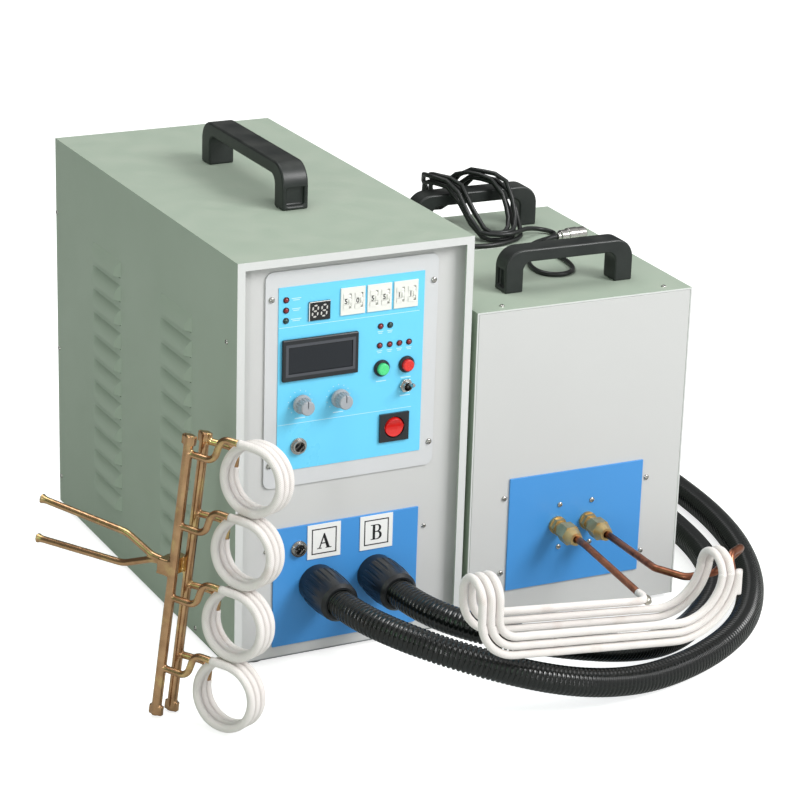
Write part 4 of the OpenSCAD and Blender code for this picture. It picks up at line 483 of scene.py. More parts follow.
SAGE = srgb(166, 180, 164)
LIGHT_GREY = srgb(206, 206, 205)
PAINT = {
    # The sage coat carries a painted highlight: pale grey on the cover's faces that turn to the
    # front.
    "cover_paint": finish("sage_powder_coat", SAGE, 0.42, grain=(0.0011, 0.00003),
                          mottle=(0.12, 0.10), dust=0.12, layer=pale_front_edge),
    "panel_paint": finish("light_grey_powder_coat", LIGHT_GREY, 0.4, grain=(0.0011, 0.00003),
                          mottle=(0.12, 0.06)),
    "frame_paint": finish("light_grey_satin", srgb(211, 212, 214), 0.34, mottle=(0.1, 0.06)),
    "panel_print": finish("printed_sky_film", srgb(112, 212, 250), 0.3, grain=(0.0006, 0.000006),
                          mottle=(0.08, 0.05), second=srgb(92, 198, 242)),
    "plate_blue": finish("blue_printed_plate", srgb(72, 150, 220), 0.38, grain=(0.0008, 0.00001),
                         mottle=(0.07, 0.08), second=srgb(60, 136, 208)),
    "tag_white": finish("white_tag_film", srgb(244, 244, 242), 0.35, mottle=(0.02, 0.05)),
    "black_plastic": finish("black_moulding", srgb(34, 36, 40), 0.36, mottle=(0.02, 0.3)),
    "handle_black": finish("handle_moulding", srgb(24, 29, 28), 0.4, grain=(0.0009, 0.00004),
                           mottle=(0.03, 0.4), second=srgb(36, 42, 40), dust=0.04),
    "foot_rubber": finish("foot_rubber", srgb(30, 30, 30), 0.7, grain=(0.001, 0.00005)),
    "window_dark": finish("display_window", srgb(26, 27, 30), 0.18, mottle=(0.02, 0.2)),
    "lens_smoke": finish("smoked_meter_window", srgb(22, 26, 34), 0.12, grain=(0.004, 0.000004),
                         mottle=(0.03, 0.2)),
    "lamp_red": finish("red_lamp_lens", srgb(140, 26, 30), 0.15, mottle=(0.002, 0.5),
                       sockets={"Coat Weight": 0.6, "Coat Roughness": 0.05}),
    "lamp_green": finish("green_lamp_lens", srgb(30, 66, 58), 0.15, mottle=(0.002, 0.5),
                         sockets={"Coat Weight": 0.6, "Coat Roughness": 0.05}),
    "wheel_white": finish("digit_switch_white", srgb(236, 236, 230), 0.42, mottle=(0.01, 0.08)),
    "nickel": finish("nickel_plate", srgb(196, 194, 190), 0.2, metal=1.0,
                     grain=(0.0005, 0.000008), mottle=(0.008, 0.3)),
    "button_green": finish("green_button", srgb(84, 222, 138), 0.28, mottle=(0.006, 0.2)),
    "button_red": finish("red_button", srgb(226, 50, 44), 0.28, mottle=(0.006, 0.2)),
    "knob_grey": finish("knob_grey", srgb(166, 170, 176), 0.42, mottle=(0.01, 0.15)),
    # The red rocker has a faint red emission: painted glow that brightens it.
    "rocker_red": finish("red_rocker", srgb(214, 32, 28), 0.16, mottle=(0.01, 0.25),
                         sockets={"Coat Weight": 0.5, "Coat Roughness": 0.06,
                                  "Emission Color": srgb(220, 24, 20),
                                  "Emission Strength": 0.08}),
    "gland_black": finish("gland_nylon", srgb(22, 24, 26), 0.34, grain=(0.0007, 0.00003),
                          mottle=(0.02, 0.35), second=srgb(34, 36, 38)),
    "hose_black": finish("hose_plastic", srgb(13, 16, 15), 0.2, grain=(0.0008, 0.00001),
                         mottle=(0.03, 0.3), second=srgb(20, 24, 22)),
    "zinc": finish("zinc_plate", srgb(176, 178, 180), 0.34, metal=1.0, mottle=(0.02, 0.3)),
    "fan_black": finish("fan_moulding", srgb(30, 30, 31), 0.42, mottle=(0.02, 0.3)),
    "guard_wire": finish("plated_wire", srgb(190, 190, 190), 0.22, metal=1.0, mottle=(0.01, 0.2)),
    "brass": finish("machined_brass", srgb(214, 188, 132), 0.4, metal=0.78,
                    grain=(0.0006, 0.00002), mottle=(0.01, 0.5), second=srgb(150, 112, 64)),
    "manifold": finish("brazed_copper", srgb(206, 166, 126), 0.24, metal=1.0,
                       grain=(0.0016, 0.00006), mottle=(0.014, 0.6), second=srgb(150, 112, 82),
                       layer=BRAZED),
    "copper": finish("tarnished_copper", srgb(168, 112, 86), 0.32, metal=1.0,
                     grain=(0.001, 0.00003), mottle=(0.012, 0.5), second=srgb(112, 66, 50),
                     layer=HEATED),
    "solder": finish("silver_solder", srgb(206, 202, 190), 0.3, metal=1.0,
                     grain=(0.002, 0.0001), mottle=(0.004, 0.4)),
    "sleeve_white": woven("glass_sleeving", srgb(240, 234, 230), 0.0017, 9, 0.00012, 0.82,
                          layer=SOILED),
    "alloy": finish("extruded_alloy", srgb(182, 184, 186), 0.34, metal=1.0,
                    stretch=(1, 1, 12), mottle=(0.01, 0.25)),
    "lead_black": finish("lead_jacket", srgb(22, 25, 24), 0.4, grain=(0.0006, 0.00001),
                         mottle=(0.01, 0.3)),
    "rim_grey": finish("meter_band", srgb(74, 76, 82), 0.4, mottle=(0.01, 0.1)),
    "ink_black": finish("black_ink", srgb(24, 24, 26), 0.5, mottle=(0.004, 0.2)),
    "ink_pale": finish("pale_ink", srgb(196, 236, 252), 0.4, mottle=(0.004, 0.15)),
    "segment_grey": finish("unlit_segments", srgb(206, 204, 200), 0.4, mottle=(0.002, 0.15)),
}


# ---------------------------------------------------------------- makers
def finished(name, mesh, material, body="machine", stands_for=()):
    """Puts a finished mesh in the scene, on its body, and hides the CAD parts it stands for."""
    mesh.name = name
    if not mesh.materials:
        mesh.materials.append(PAINT[material])
    piece = placed(name, mesh)
    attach(piece, body)
    if stands_for:
        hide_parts(*stands_for)
    return piece


def shade_by_angle(mesh, degrees=35):
    """Smooth shading, but for the edges sharper than an angle."""
    work = bmesh.new()
    work.from_mesh(mesh)
    limit = math.radians(degrees)
    for face in work.faces:
        face.smooth = True
    for edge in work.edges:
        edge.smooth = len(edge.link_faces) == 2 and edge.calc_face_angle(0) < limit
    work.to_mesh(mesh)
    work.free()


def mesh_of(work, name, face_out=False):
    """Ends work on a mesh, with its faces turned outward if asked."""
    if face_out:
        bmesh.ops.recalc_face_normals(work, faces=work.faces)
    mesh = bpy.data.meshes.new(name)
    work.to_mesh(mesh)
    work.free()
    return mesh


def evaluated(holder):
    """The mesh of an object after its modifiers. The object itself goes."""
    bpy.context.view_layer.update()
    seen = holder.evaluated_get(bpy.context.evaluated_depsgraph_get())
    result = bpy.data.meshes.new_from_object(seen)
    bpy.data.objects.remove(holder)
    return result


def applied(mesh, *modifiers):
    """The mesh after modifiers, each given as (kind, settings)."""
    holder = placed("holder", mesh)
    for kind, settings in modifiers:
        made = holder.modifiers.new(kind.lower(), kind)
        for name, value in settings.items():
            setattr(made, name, value)
    return evaluated(holder)


def from_tree(tree, mesh, **inputs):
    """The mesh that a geometry tree makes from another, with named inputs."""
    holder = placed("holder", mesh)
    modifier = holder.modifiers.new("tree", "NODES")
    modifier.node_group = tree
    sockets = {s.name: s.identifier for s in tree.interface.items_tree
               if s.item_type == "SOCKET" and s.in_out == "INPUT"}
    for name, value in inputs.items():
        modifier[sockets[name.replace("_", " ")]] = value
    return evaluated(holder)


def new_tree(name, inputs):
    tree = bpy.data.node_groups.new(name, "GeometryNodeTree")
    for label, kind in inputs:
        tree.interface.new_socket(label, in_out="INPUT", socket_type=kind)
    tree.interface.new_socket("Geometry", in_out="OUTPUT", socket_type="NodeSocketGeometry")
    return tree, add(tree, "NodeGroupInput").outputs, add(tree, "NodeGroupOutput").inputs


def close_tree(tree, geometry, material, out):
    real = add(tree, "GeometryNodeRealizeInstances", {0: geometry})
    dressed = add(tree, "GeometryNodeSetMaterial", {"Geometry": real.outputs[0],
                                                    "Material": material})
    tree.links.new(dressed.outputs[0], out[0])


WELD, FLAT_DEGREES, BEVEL_STEPS = 0.000008, 1.0, 2
EDGE_DEGREES, COVER_EDGE_DEGREES = 32, 20


def merged_copy(node, width, angle):
    """A CAD node's mesh with its triangles joined, its flats made whole and its
    edges rounded."""
    mesh = NODES[node].data.copy()
    mesh.materials.clear()
    for attribute in [a.name for a in mesh.attributes if a.name == "custom_normal"]:
        mesh.attributes.remove(mesh.attributes[attribute])
    work = bmesh.new()
    work.from_mesh(mesh)
    bmesh.ops.remove_doubles(work, verts=work.verts, dist=WELD)
    bmesh.ops.dissolve_limit(work, angle_limit=math.radians(FLAT_DEGREES), verts=work.verts,
                             edges=work.edges)
    work.to_mesh(mesh)
    work.free()
    shade_by_angle(mesh, angle)
    steps = [("WEIGHTED_NORMAL", {"keep_sharp": True, "weight": 100})]
    if width:
        steps.insert(0, ("BEVEL", {
            "width": width, "segments": BEVEL_STEPS, "limit_method": "ANGLE",
            "angle_limit": math.radians(angle), "harden_normals": True,
            "use_clamp_overlap": True, "miter_outer": "MITER_ARC"}))
    return applied(mesh, *steps)


def refined(node, material, width, angle=EDGE_DEGREES):
    """A CAD node's rounded copy, in its paint, in the node's own place."""
    mesh = merged_copy(node, width, angle)
    return finished(node + "_finish", mesh, material, BODY_OF[node], [node])


def sweep(path, radius_at, sides):
    """A closed tube along a path, with metres along and turns round as its UV."""
    work = bmesh.new()
    uv = work.loops.layers.uv.new("UVMap")
    path = [Vector(p) for p in path]
    run = [0.0]
    for a, b in zip(path, path[1:]):
        run.append(run[-1] + (b - a).length)
    heading = (path[1] - path[0]).normalized()
    side = heading.orthogonal().normalized()
    rings = []
    for i, point in enumerate(path):
        now = (path[min(i + 1, len(path) - 1)] - path[max(i - 1, 0)]).normalized()
        side = (side - now * side.dot(now)).normalized()
        other = now.cross(side)
        rings.append([
            work.verts.new(point + radius_at(run[i], math.tau * k / sides) * (
                side * math.cos(math.tau * k / sides)
                + other * math.sin(math.tau * k / sides)))
            for k in range(sides)])
    for i in range(len(rings) - 1):
        for k in range(sides):
            n = (k + 1) % sides
            face = work.faces.new((rings[i][k], rings[i][n], rings[i + 1][n], rings[i + 1][k]))
            face.smooth = True
            for loop, (a, b) in zip(face.loops, ((0, 0), (0, 1), (1, 1), (1, 0))):
                loop[uv].uv = (run[i + a], (k + b) / sides)
    work.faces.new(list(reversed(rings[0])))
    work.faces.new(rings[-1])
    return mesh_of(work, "tube")


def turned(profile, places, sides, smooth, face_out=True):
    """Solids of revolution: (radius, height) pairs about Z, put in each place."""
    work = bmesh.new()
    for place in places:
        add_turned(work, profile, sides, place)
    mesh = mesh_of(work, "turned", face_out)
    shade_by_angle(mesh, smooth)
    return mesh


def add_turned(work, profile, sides, place):
    rings = []
    for radius, height in profile:
        if radius == 0:
            rings.append([work.verts.new(place @ Vector((0, 0, height)))])
        else:
            rings.append([work.verts.new(place @ Vector((
                radius * math.cos(math.tau * k / sides), radius * math.sin(math.tau * k / sides),
                height))) for k in range(sides)])
    for low, high in zip(rings, rings[1:]):
        for k in range(sides):
            n = (k + 1) % sides
            corners = [low[k % len(low)], low[n % len(low)],
                       high[n % len(high)], high[k % len(high)]]
            kept = [v for i, v in enumerate(corners) if v not in corners[:i]]
            if len(kept) > 2:
                work.faces.new(kept)
    if len(rings[0]) > 1:
        work.faces.new(list(reversed(rings[0])))
    if len(rings[-1]) > 1:
        work.faces.new(rings[-1])


def add_block(work, low, high, place=None):
    """A box between two corners, added to a mesh under work."""
    corners = [Vector((high[0] if i & 1 else low[0], high[1] if i & 2 else low[1],
                       high[2] if i & 4 else low[2])) for i in range(8)]
    v = [work.verts.new(place @ c if place else c) for c in corners]
    for face in ((0, 2, 3, 1), (4, 5, 7, 6), (0, 1, 5, 4), (2, 6, 7, 3), (0, 4, 6, 2),
                 (1, 3, 7, 5)):
        work.faces.new([v[i] for i in face])


def plates(outlines, y, thick):
    """Flat shapes drawn in x and z, in mm, each standing proud of a face at y."""
    work = bmesh.new()
    for outline in outlines:
        front, back = ([work.verts.new((x * MM, depth, z * MM)) for x, z in outline]
                       for depth in (y - thick, y))
        work.faces.new(front)
        work.faces.new(list(reversed(back)))
        for i in range(len(outline)):
            n = (i + 1) % len(outline)
            work.faces.new((front[i], back[i], back[n], front[n]))
    return mesh_of(work, "plates", True)


def rectangle(x, z, w, h):
    return [(x - w / 2, z - h / 2), (x + w / 2, z - h / 2),
            (x + w / 2, z + h / 2), (x - w / 2, z + h / 2)]


def ring_outlines(x, z, w, h, line):
    """A square frame as four bars."""
    return [rectangle(x, z + (h - line) / 2, w, line), rectangle(x, z - (h - line) / 2, w, line),
            rectangle(x - (w - line) / 2, z, line, h - line * 2),
            rectangle(x + (w - line) / 2, z, line, h - line * 2)]


# ---------------------------------------------------------------- cords first
RIB_PITCH, RIB_DEPTH, RIB_SAMPLES, HOSE_SIDES = 0.0048, 0.0013, 8.0, 26


def make_hose_tree():
    """A corrugated hose along a line: even ribs with narrow grooves."""
    tree, given, out = new_tree("ribbed_hose", [
        ("Line", "NodeSocketGeometry"), ("Radius", "NodeSocketFloat"),
        ("Rib Pitch", "NodeSocketFloat"), ("Rib Depth", "NodeSocketFloat"),
        ("Sides", "NodeSocketInt")])
    line = add(tree, "GeometryNodeMeshToCurve", {0: given["Line"]})
    length = add(tree, "GeometryNodeCurveLength", {0: line.outputs[0]})
    ribs = calc(tree, "ROUND", calc(tree, "DIVIDE", length.outputs[0], given["Rib Pitch"]))
    line = add(tree, "GeometryNodeResampleCurve", {
        "Curve": line.outputs[0], "Count": calc(tree, "MULTIPLY_ADD", ribs, RIB_SAMPLES, 1.0)})
    along = add(tree, "GeometryNodeSplineParameter").outputs["Factor"]
    turn = calc(tree, "MULTIPLY", calc(tree, "MULTIPLY", along, ribs), math.tau)
    groove = ramped(tree, calc(tree, "COSINE", turn), 0.0, 1.0, 0.05, 0.9,
                    interpolation_type="SMOOTHSTEP")
    radius = calc(tree, "SUBTRACT", given["Radius"],
                  calc(tree, "MULTIPLY", groove, given["Rib Depth"]))
    ring = add(tree, "GeometryNodeCurvePrimitiveCircle", {"Resolution": given["Sides"],
                                                          "Radius": 1.0})
    skin = add(tree, "GeometryNodeCurveToMesh", {"Curve": line.outputs[0],
                                                 "Profile Curve": ring.outputs[0],
                                                 "Scale": radius,
                                                 "Fill Caps": True})
    close_tree(tree, skin.outputs[0], PAINT["hose_black"], out)
    return tree


def line_mesh(points):
    mesh = bpy.data.meshes.new("line")
    mesh.from_pydata(points, [(i, i + 1) for i in range(len(points) - 1)], [])
    return mesh


def outward(mesh):
    work = bmesh.new()
    work.from_mesh(mesh)
    bmesh.ops.recalc_face_normals(work, faces=work.faces)
    work.to_mesh(mesh)
    work.free()


HOSE_TREE = make_hose_tree()
for hose, route, length in (("hose_left", ROUTE_LEFT, 1.702), ("hose_right", ROUTE_RIGHT, 1.444)):
    path = [p * MM for p in spline(route, 400)]
    skin = from_tree(HOSE_TREE, line_mesh(path), Radius=HOSE_DIA / 2, Rib_Pitch=RIB_PITCH,
                     Rib_Depth=RIB_DEPTH, Sides=HOSE_SIDES)
    outward(skin)
    shade_by_angle(skin, 70)
    piece = finished(hose + "_ribs", skin, "hose_black", stands_for=[hose])

lead_path = [on_lid(p) for p in (
    spline(ROUTE_GLAND, 110) + hank_points()[1:] + spline(ROUTE_PLUG, 150)[1:])]
plug = refined("lead_plug", "nickel", 0.0004)
lead = finished("signal_lead", sweep(lead_path, lambda run, turn: LEAD_DIA / 2, 12), "lead_black",
                stands_for=["lead_run_gland", "lead_hank", "lead_run_plug"])

# ---------------------------------------------------------------- sleeved coils and copper pipes
SADDLE_PATH = [
    (232.49, -405.58, 95.09, 0), (232.49, -426.2, 95.09, 13.12),
    (44.89, -426.2, 115, 22.04), (44.89, -426.2, 161, 19), (44.89, -464.2, 161, 19),
    (44.89, -464.2, 105.75, 22.04), (289.89, -464.2, 79.75, 44.84),
    (289.89, -464.2, 144, 19), (289.89, -426.2, 144, 19), (289.89, -426.2, 79.75, 44.84),
    (35.69, -426.2, 106.72, 31.24), (35.69, -426.2, 161, 19), (35.69, -464.2, 161, 19),
    (35.69, -464.2, 97.47, 31.24), (299.09, -464.2, 69.52, 54.04),
    (299.09, -464.2, 144, 19), (299.09, -426.2, 144, 19), (299.09, -426.2, 69.52, 54.04),
    (26.49, -426.2, 98.45, 40.44), (26.49, -426.2, 161, 19), (26.49, -464.2, 161, 19),
    (26.49, -464.2, 89.2, 40.44), (308.29, -464.2, 59.29, 63.24), (308.29, -464.2, 105, 0),
]
PIPE_IN = [(232.49, -274.68, 105, 0), (232.49, -302.7, 105, 15), (232.49, -405.58, 95.09, 0)]
PIPE_OUT = [
    (308.29, -464.2, 105, 0), (310.33, -443.3, 137.25, 12), (338.9, -428.1, 137.25, 9),
    (314.42, -414.8, 105.75, 9), (285.84, -407.2, 102.75, 13.5), (267.48, -378.7, 104.25, 11.25),
    (267.48, -275.7, 105, 0),
]


def rounded(corners, steps=14):
    """A run of straight stretches whose corners are arcs: (x, y, z, radius)."""
    out = []
    for i, (x, y, z, radius) in enumerate(corners):
        p = Vector((x, y, z))
        if i in (0, len(corners) - 1) or not radius:
            out.append(p)
            continue
        u = (Vector(corners[i - 1][:3]) - p).normalized()
        v = (Vector(corners[i + 1][:3]) - p).normalized()
        half = u.angle(v) / 2
        centre = p + (u + v).normalized() * radius / math.sin(half)
        start, end = p + u * radius / math.tan(half), p + v * radius / math.tan(half)
        x_axis = (start - centre).normalized()
        w_axis = (end - centre) - x_axis * (end - centre).dot(x_axis)
        w_axis.normalize()
        sweep_angle = math.pi - half * 2
        out += [centre + (x_axis * math.cos(sweep_angle * k / steps)
                          + w_axis * math.sin(sweep_angle * k / steps)) * radius
                for k in range(steps + 1)]
    return out


def evened(points, step):
    """The same run with points at an even step."""
    points = [Vector(p) for p in points]
    run = [0.0]
    for a, b in zip(points, points[1:]):
        run.append(run[-1] + (b - a).length)
    count = max(2, round(run[-1] / step))
    out, k = [], 0
    for i in range(count + 1):
        d = run[-1] * i / count
        while k < len(run) - 2 and run[k + 1] < d:
            k += 1
        out.append(points[k].lerp(points[k + 1], (d - run[k]) / max(run[k + 1] - run[k], 1e-9)))
    return out


def sleeve_radius(dia, seed):
    """Sleeving over a tube: it bags a little, and never past its size."""
    def radius(run, turn):
        slack = noise.noise(Vector((run * 90, math.cos(turn) * 1.3 + seed, math.sin(turn) * 1.3)))
        return dia / 2 * (0.965 + 0.035 * slack)
    return radius


SLEEVE_STEP, SLEEVE_SIDES = 0.0022, 16
saddle = evened([p * MM for p in rounded(SADDLE_PATH)], SLEEVE_STEP)
finished("saddle_sleeve", sweep(saddle, sleeve_radius(SLEEVE_DIA, 1), SLEEVE_SIDES),
         "sleeve_white", stands_for=["saddle_coil"])


def joined(meshes):
    work = bmesh.new()
    for mesh in meshes:
        work.from_mesh(mesh)
    return mesh_of(work, "joined")


def pipe(corners, dia, sides=24, step=2.0):
    path = evened(rounded(corners), step)
    return sweep([p * MM for p in path], lambda run, turn: dia / 2, sides)


PIPE_DIA = 0.0075
finished("coil_pipe_runs", joined([pipe(PIPE_IN, PIPE_DIA), pipe(PIPE_OUT, PIPE_DIA)]), "copper",
         stands_for=["coil_pipes"])

SPARE = (Matrix.Translation(Vector((-219, -286.5, 2)) * MM)
         @ Matrix.Rotation(math.radians(7), 4, "Y") @ Matrix.Rotation(math.radians(-57), 4, "Z"))
RING_X, RING_R, RING_Z, RING_PITCH = 69.215, 31.75, 40.5, 71.5
TUBE_A, TUBE_B = (0, -9.991), (4.365, 9.991)
TURNS, TURN_PITCH, RING_COUNT = 2.75, 9.0, 4
BRAZE_VOXEL, FLARE_LONG = 0.0009, 0.006


def spare_point(p):
    """A point given in the spare set's own frame, in mm."""
    return SPARE @ (Vector(p) * MM)


def ring_path(k, count=132):
    """The turns of one spare ring, from its lead in."""
    z = RING_Z + RING_PITCH * k
    points = [(RING_X - RING_R * 0.5, TUBE_A[1], z + RING_R)]
    for i in range(count + 1):
        a = math.radians(90 - 360 * TURNS * i / count)
        points.append((RING_X + RING_R * math.cos(a), TUBE_A[1] + TURN_PITCH * TURNS * i / count,
                       z + RING_R * math.sin(a)))
    return [spare_point(p) for p in points]


finished("spare_ring_sleeves", joined([
    sweep(evened(ring_path(k), SLEEVE_STEP), sleeve_radius(RING_DIA, 5 + k), SLEEVE_SIDES)
    for k in range(RING_COUNT)
]), "sleeve_white", stands_for=["spare_rings"])


def spare_tube(corners, dia, flare=0.0):
    """A bent tube of the spare set, its far end opened a little by flare."""
    path = [spare_point(p) for p in evened(rounded(corners), 2.0)]
    whole = sum((b - a).length for a, b in zip(path, path[1:]))

    def radius(run, turn):
        open_by = max(0.0, 1 - (whole - run) / FLARE_LONG)
        return dia * MM / 2 * (1 + flare * open_by * open_by)

    return sweep(path, radius, 20)


def make_manifold():
    """Both manifold tubes, their pinched ends, the leads and the tee, melted
    into one skin so that the brazed joints have fillets."""
    tube, lead, length, gap, lift = 9.7, 7.0, 281.0, 19.982, 7.9375
    tee_z, tee = 148.087, 15.52
    lead_start = RING_X - RING_R * 0.5
    end_x, end_y = 37.465, 14.759
    work = bmesh.new()
    rest = []
    for x, y in (TUBE_A, TUBE_B):
        add_turned(work, [(0, 0.0), (tube / 2 * MM, 0.0), (tube / 2 * MM, length * MM),
                          (0, length * MM)], 28, SPARE @ Matrix.Translation((x * MM, y * MM, 0)))
        for z in (0, length - tube):
            add_block(work, Vector((x - tube * 0.72, y - tube * 0.28, z)) * MM,
                      Vector((x + tube * 0.72, y + tube * 0.28, z + tube)) * MM, SPARE)
    for k in range(RING_COUNT):
        z = RING_Z + RING_PITCH * k
        rest.append(spare_tube([
            (*TUBE_A, z + lift, 0), (RING_X * 0.42, TUBE_A[1], z + lift, tube),
            (RING_X * 0.5, TUBE_A[1], z + RING_R, tube), (lead_start, TUBE_A[1], z + RING_R, 0)],
            lead))
        rest.append(spare_tube([
            (end_x, end_y, z, 0), (end_x, end_y, z + lift + tube, tube),
            (*TUBE_B, z + lift + tube, 0)], lead))
    add_block(work, Vector((-tee, -gap / 2 - tube / 2, tee_z - tee / 2)) * MM,
              Vector((0, gap / 2 + tube / 2, tee_z + tee / 2)) * MM, SPARE)
    for side in (-1, 1):
        rest.append(spare_tube([
            (-tee / 2, 0, tee_z, 0), (-tee * 2, 0, tee_z + side * tube * 0.2, tee),
            (-tee * 4, 0, tee_z + side * tee, tee * 2),
            (-length * 0.58, 0, tee_z + side * tee * 1.3, 0)], lead, 0.5))
    return applied(joined([mesh_of(work, "manifold", True)] + rest),
                   ("REMESH", {"mode": "VOXEL", "voxel_size": BRAZE_VOXEL,
                               "use_smooth_shade": True}),
                   ("SMOOTH", {"factor": 0.5, "iterations": 3}))


finished("spare_manifold_brazed", make_manifold(), "manifold",
         stands_for=["spare_manifold"])

# ---------------------------------------------------------------- sheet metal, handles and fittings
REFINED = {
    "cabinet_cover": ("cover_paint", 0.0), "unit_cover": ("cover_paint", 0.0005),
    "cabinet_front": ("panel_paint", 0.0003), "unit_front": ("panel_paint", 0.0003),
    "cabinet_back": ("panel_paint", 0.0003), "unit_back": ("panel_paint", 0.0003),
    "control_frame": ("frame_paint", 0.0004), "control_panel": ("panel_print", 0.0),
    "outlet_plate": ("plate_blue", 0.0003), "terminal_plate": ("plate_blue", 0.0003),
    "cabinet_handle": ("handle_black", 0.0022), "unit_handle_front": ("handle_black", 0.002),
    "unit_handle_back": ("handle_black", 0.002), "meter_case": ("black_plastic", 0.0011),
    "meter_lens": ("lens_smoke", 0.0003), "digit_display": ("window_dark", 0.0003),
    "digit_blocks": ("wheel_white", 0.0003), "button_bezels": ("black_plastic", 0.0003),
    "start_button": ("button_green", 0.0004), "stop_button": ("button_red", 0.0004),
    "knob_left": ("knob_grey", 0.0002), "knob_right": ("knob_grey", 0.0002),
    "toggle_body": ("nickel", 0.0002), "toggle_bat": ("nickel", 0.0001),
    "power_frame": ("black_plastic", 0.0018), "power_rocker": ("rocker_red", 0.0002),
    "signal_sockets": ("nickel", 0.0002), "port_tags": ("tag_white", 0.0001),
    "front_glands": ("gland_black", 0.0004), "rear_glands": ("gland_black", 0.0004),
    "fan_frame": ("fan_black", 0.0006), "fan_rotor": ("fan_black", 0.0003),
    "fan_guard": ("guard_wire", 0.0), "water_spigots": ("brass", 0.0003),
    "supply_inlet": ("gland_black", 0.0004), "flare_unions": ("brass", 0.0004),
    "lead_gland": ("gland_black", 0.0003), "inner_chassis": ("alloy", 0.0004),
    "cabinet_tray": ("zinc", 0.0003), "unit_tray": ("zinc", 0.0003),
    "cabinet_feet": ("foot_rubber", 0.0006), "unit_feet": ("foot_rubber", 0.0006),
    **{f"digit_wheel_{i}": ("wheel_white", 0.0001) for i in range(1, 7)},
}
for node, (material, width) in REFINED.items():
    refined(node, material, width,
            COVER_EDGE_DEGREES if node == "cabinet_cover" else EDGE_DEGREES)

# ---------------------------------------------------------------- screws
def screw_head():
    """A pan head with a cross recess, one unit across, its seat at zero."""
    profile = [(0.0, 0.0), (0.5, 0.0), (0.5, 0.06), (0.47, 0.16), (0.38, 0.25), (0.24, 0.3),
               (0.0, 0.32)]
    head = turned(profile, [Matrix()], 18, 50, False)
    cut = bmesh.new()
    add_block(cut, (-0.3, -0.055, 0.16), (0.3, 0.055, 0.5))
    add_block(cut, (-0.055, -0.3, 0.155), (0.055, 0.3, 0.51))
    tool = placed("cut", mesh_of(cut, "cut", True))
    mesh = applied(head, ("BOOLEAN", {"object": tool, "operation": "DIFFERENCE",
                                      "solver": "EXACT", "use_self": True}))
    bpy.data.objects.remove(tool)
    shade_by_angle(mesh, 40)
    return mesh


def make_screw_tree():
    """Heads set on points, along each point's own facing, each turned a bit."""
    tree, given, out = new_tree("set_screws", [
        ("Points", "NodeSocketGeometry"), ("Head", "NodeSocketObject"),
        ("Diameter", "NodeSocketFloat"), ("Seed", "NodeSocketInt"),
        ("Material", "NodeSocketMaterial")])
    head = add(tree, "GeometryNodeObjectInfo", {"Object": given["Head"]})
    facing = add(tree, "GeometryNodeInputNamedAttribute", {"Name": "facing"},
                 data_type="FLOAT_VECTOR")
    aim = add(tree, "FunctionNodeAlignRotationToVector", {"Vector": facing.outputs[0]}, axis="Z")
    turn = add(tree, "FunctionNodeRandomValue", {2: 0.0, 3: math.pi / 2, "Seed": given["Seed"]},
               data_type="FLOAT")
    spin = add(tree, "FunctionNodeAxisAngleToRotation", {"Axis": (0, 0, 1),
                                                         "Angle": turn.outputs[1]})
    aim = add(tree, "FunctionNodeRotateRotation", {"Rotation": aim.outputs[0],
                                                   "Rotate By": spin.outputs[0]},
              rotation_space="LOCAL")
    size = add(tree, "ShaderNodeCombineXYZ", {i: given["Diameter"] for i in range(3)})
    heads = add(tree, "GeometryNodeInstanceOnPoints", {
        "Points": given["Points"], "Instance": head.outputs["Geometry"],
        "Rotation": aim.outputs[0], "Scale": size.outputs[0]})
    close_tree(tree, heads.outputs[0], given["Material"], out)
    return tree


SCREW_TREE = make_screw_tree()
SCREW = placed("screw_head", screw_head())


def screws(name, places, diameter, seed=1):
    """Screw heads at (point, facing) pairs, each set turned by its own seed."""
    points = bpy.data.meshes.new("points")
    points.from_pydata([p for p, facing in places], [], [])
    attribute = points.attributes.new("facing", "FLOAT_VECTOR", "POINT")
    for row, (p, facing) in zip(attribute.data, places):
        row.vector = facing
    mesh = from_tree(SCREW_TREE, points, Head=SCREW, Diameter=diameter, Seed=seed,
                     Material=PAINT["nickel"])
    return finished(name, mesh, "nickel")


FRONTWARD = Vector((0, -1, 0))
UNIT_FRONTWARD = (on_unit(0, -1, 0) - on_unit(0, 0, 0)).normalized()
LEFTWARD, RIGHTWARD, UPWARD, REARWARD = (
    Vector((-1, 0, 0)), Vector((1, 0, 0)), Vector((0, 0, 1)), Vector((0, 1, 0)))
screws("control_plate_screws", [
    (Vector((x, FRAME_Y, z)), FRONTWARD) for x, z in
    ((-0.0855, 0.381), (0.087, 0.381), (0.087, 0.2135), (-0.086, 0.213))], 0.0062)
screws("front_panel_screws", [
    (Vector((x, DECK_Y, 0.1226)), FRONTWARD) for x in (0.0857, -0.0872)], 0.005, seed=2)
SIDE_SCREWS = [(0.2395, 0.342), (0.2385, 0.187), (0.2375, 0.036), (-0.2195, 0.34),
               (-0.1465, 0.012), (-0.2195, 0.027)]
screws("cover_side_screws", [
    (Vector((x, y, z)), facing) for x, facing in ((-CABINET_HALF, LEFTWARD),
                                                  (CABINET_HALF, RIGHTWARD))
    for y, z in SIDE_SCREWS], 0.0052, seed=3)
OUTLET_T = 2.0
screws("terminal_plate_screws", [
    (on_unit(u, 0, z), UNIT_FRONTWARD) for u, z in
    ((38.5, 141.9), (203.3, 141.9), (37.6, 60.1), (201.5, 60.1))], 0.006, seed=4)
screws("terminal_stud_screws", [
    (on_unit(u, -OUTLET_T, z), UNIT_FRONTWARD) for u, z in
    ((102, 127), (139, 127), (102.5, 80.5), (138.5, 80.5))], 0.0058, seed=5)
screws("lid_screws", [(on_unit(u, 12.5, UNIT_TOP / MM), UPWARD) for u in (33, 217.4)],
       0.0052, seed=6)
UNIT_LEFTWARD = (on_unit(-1, 0, 0) - on_unit(0, 0, 0)).normalized()
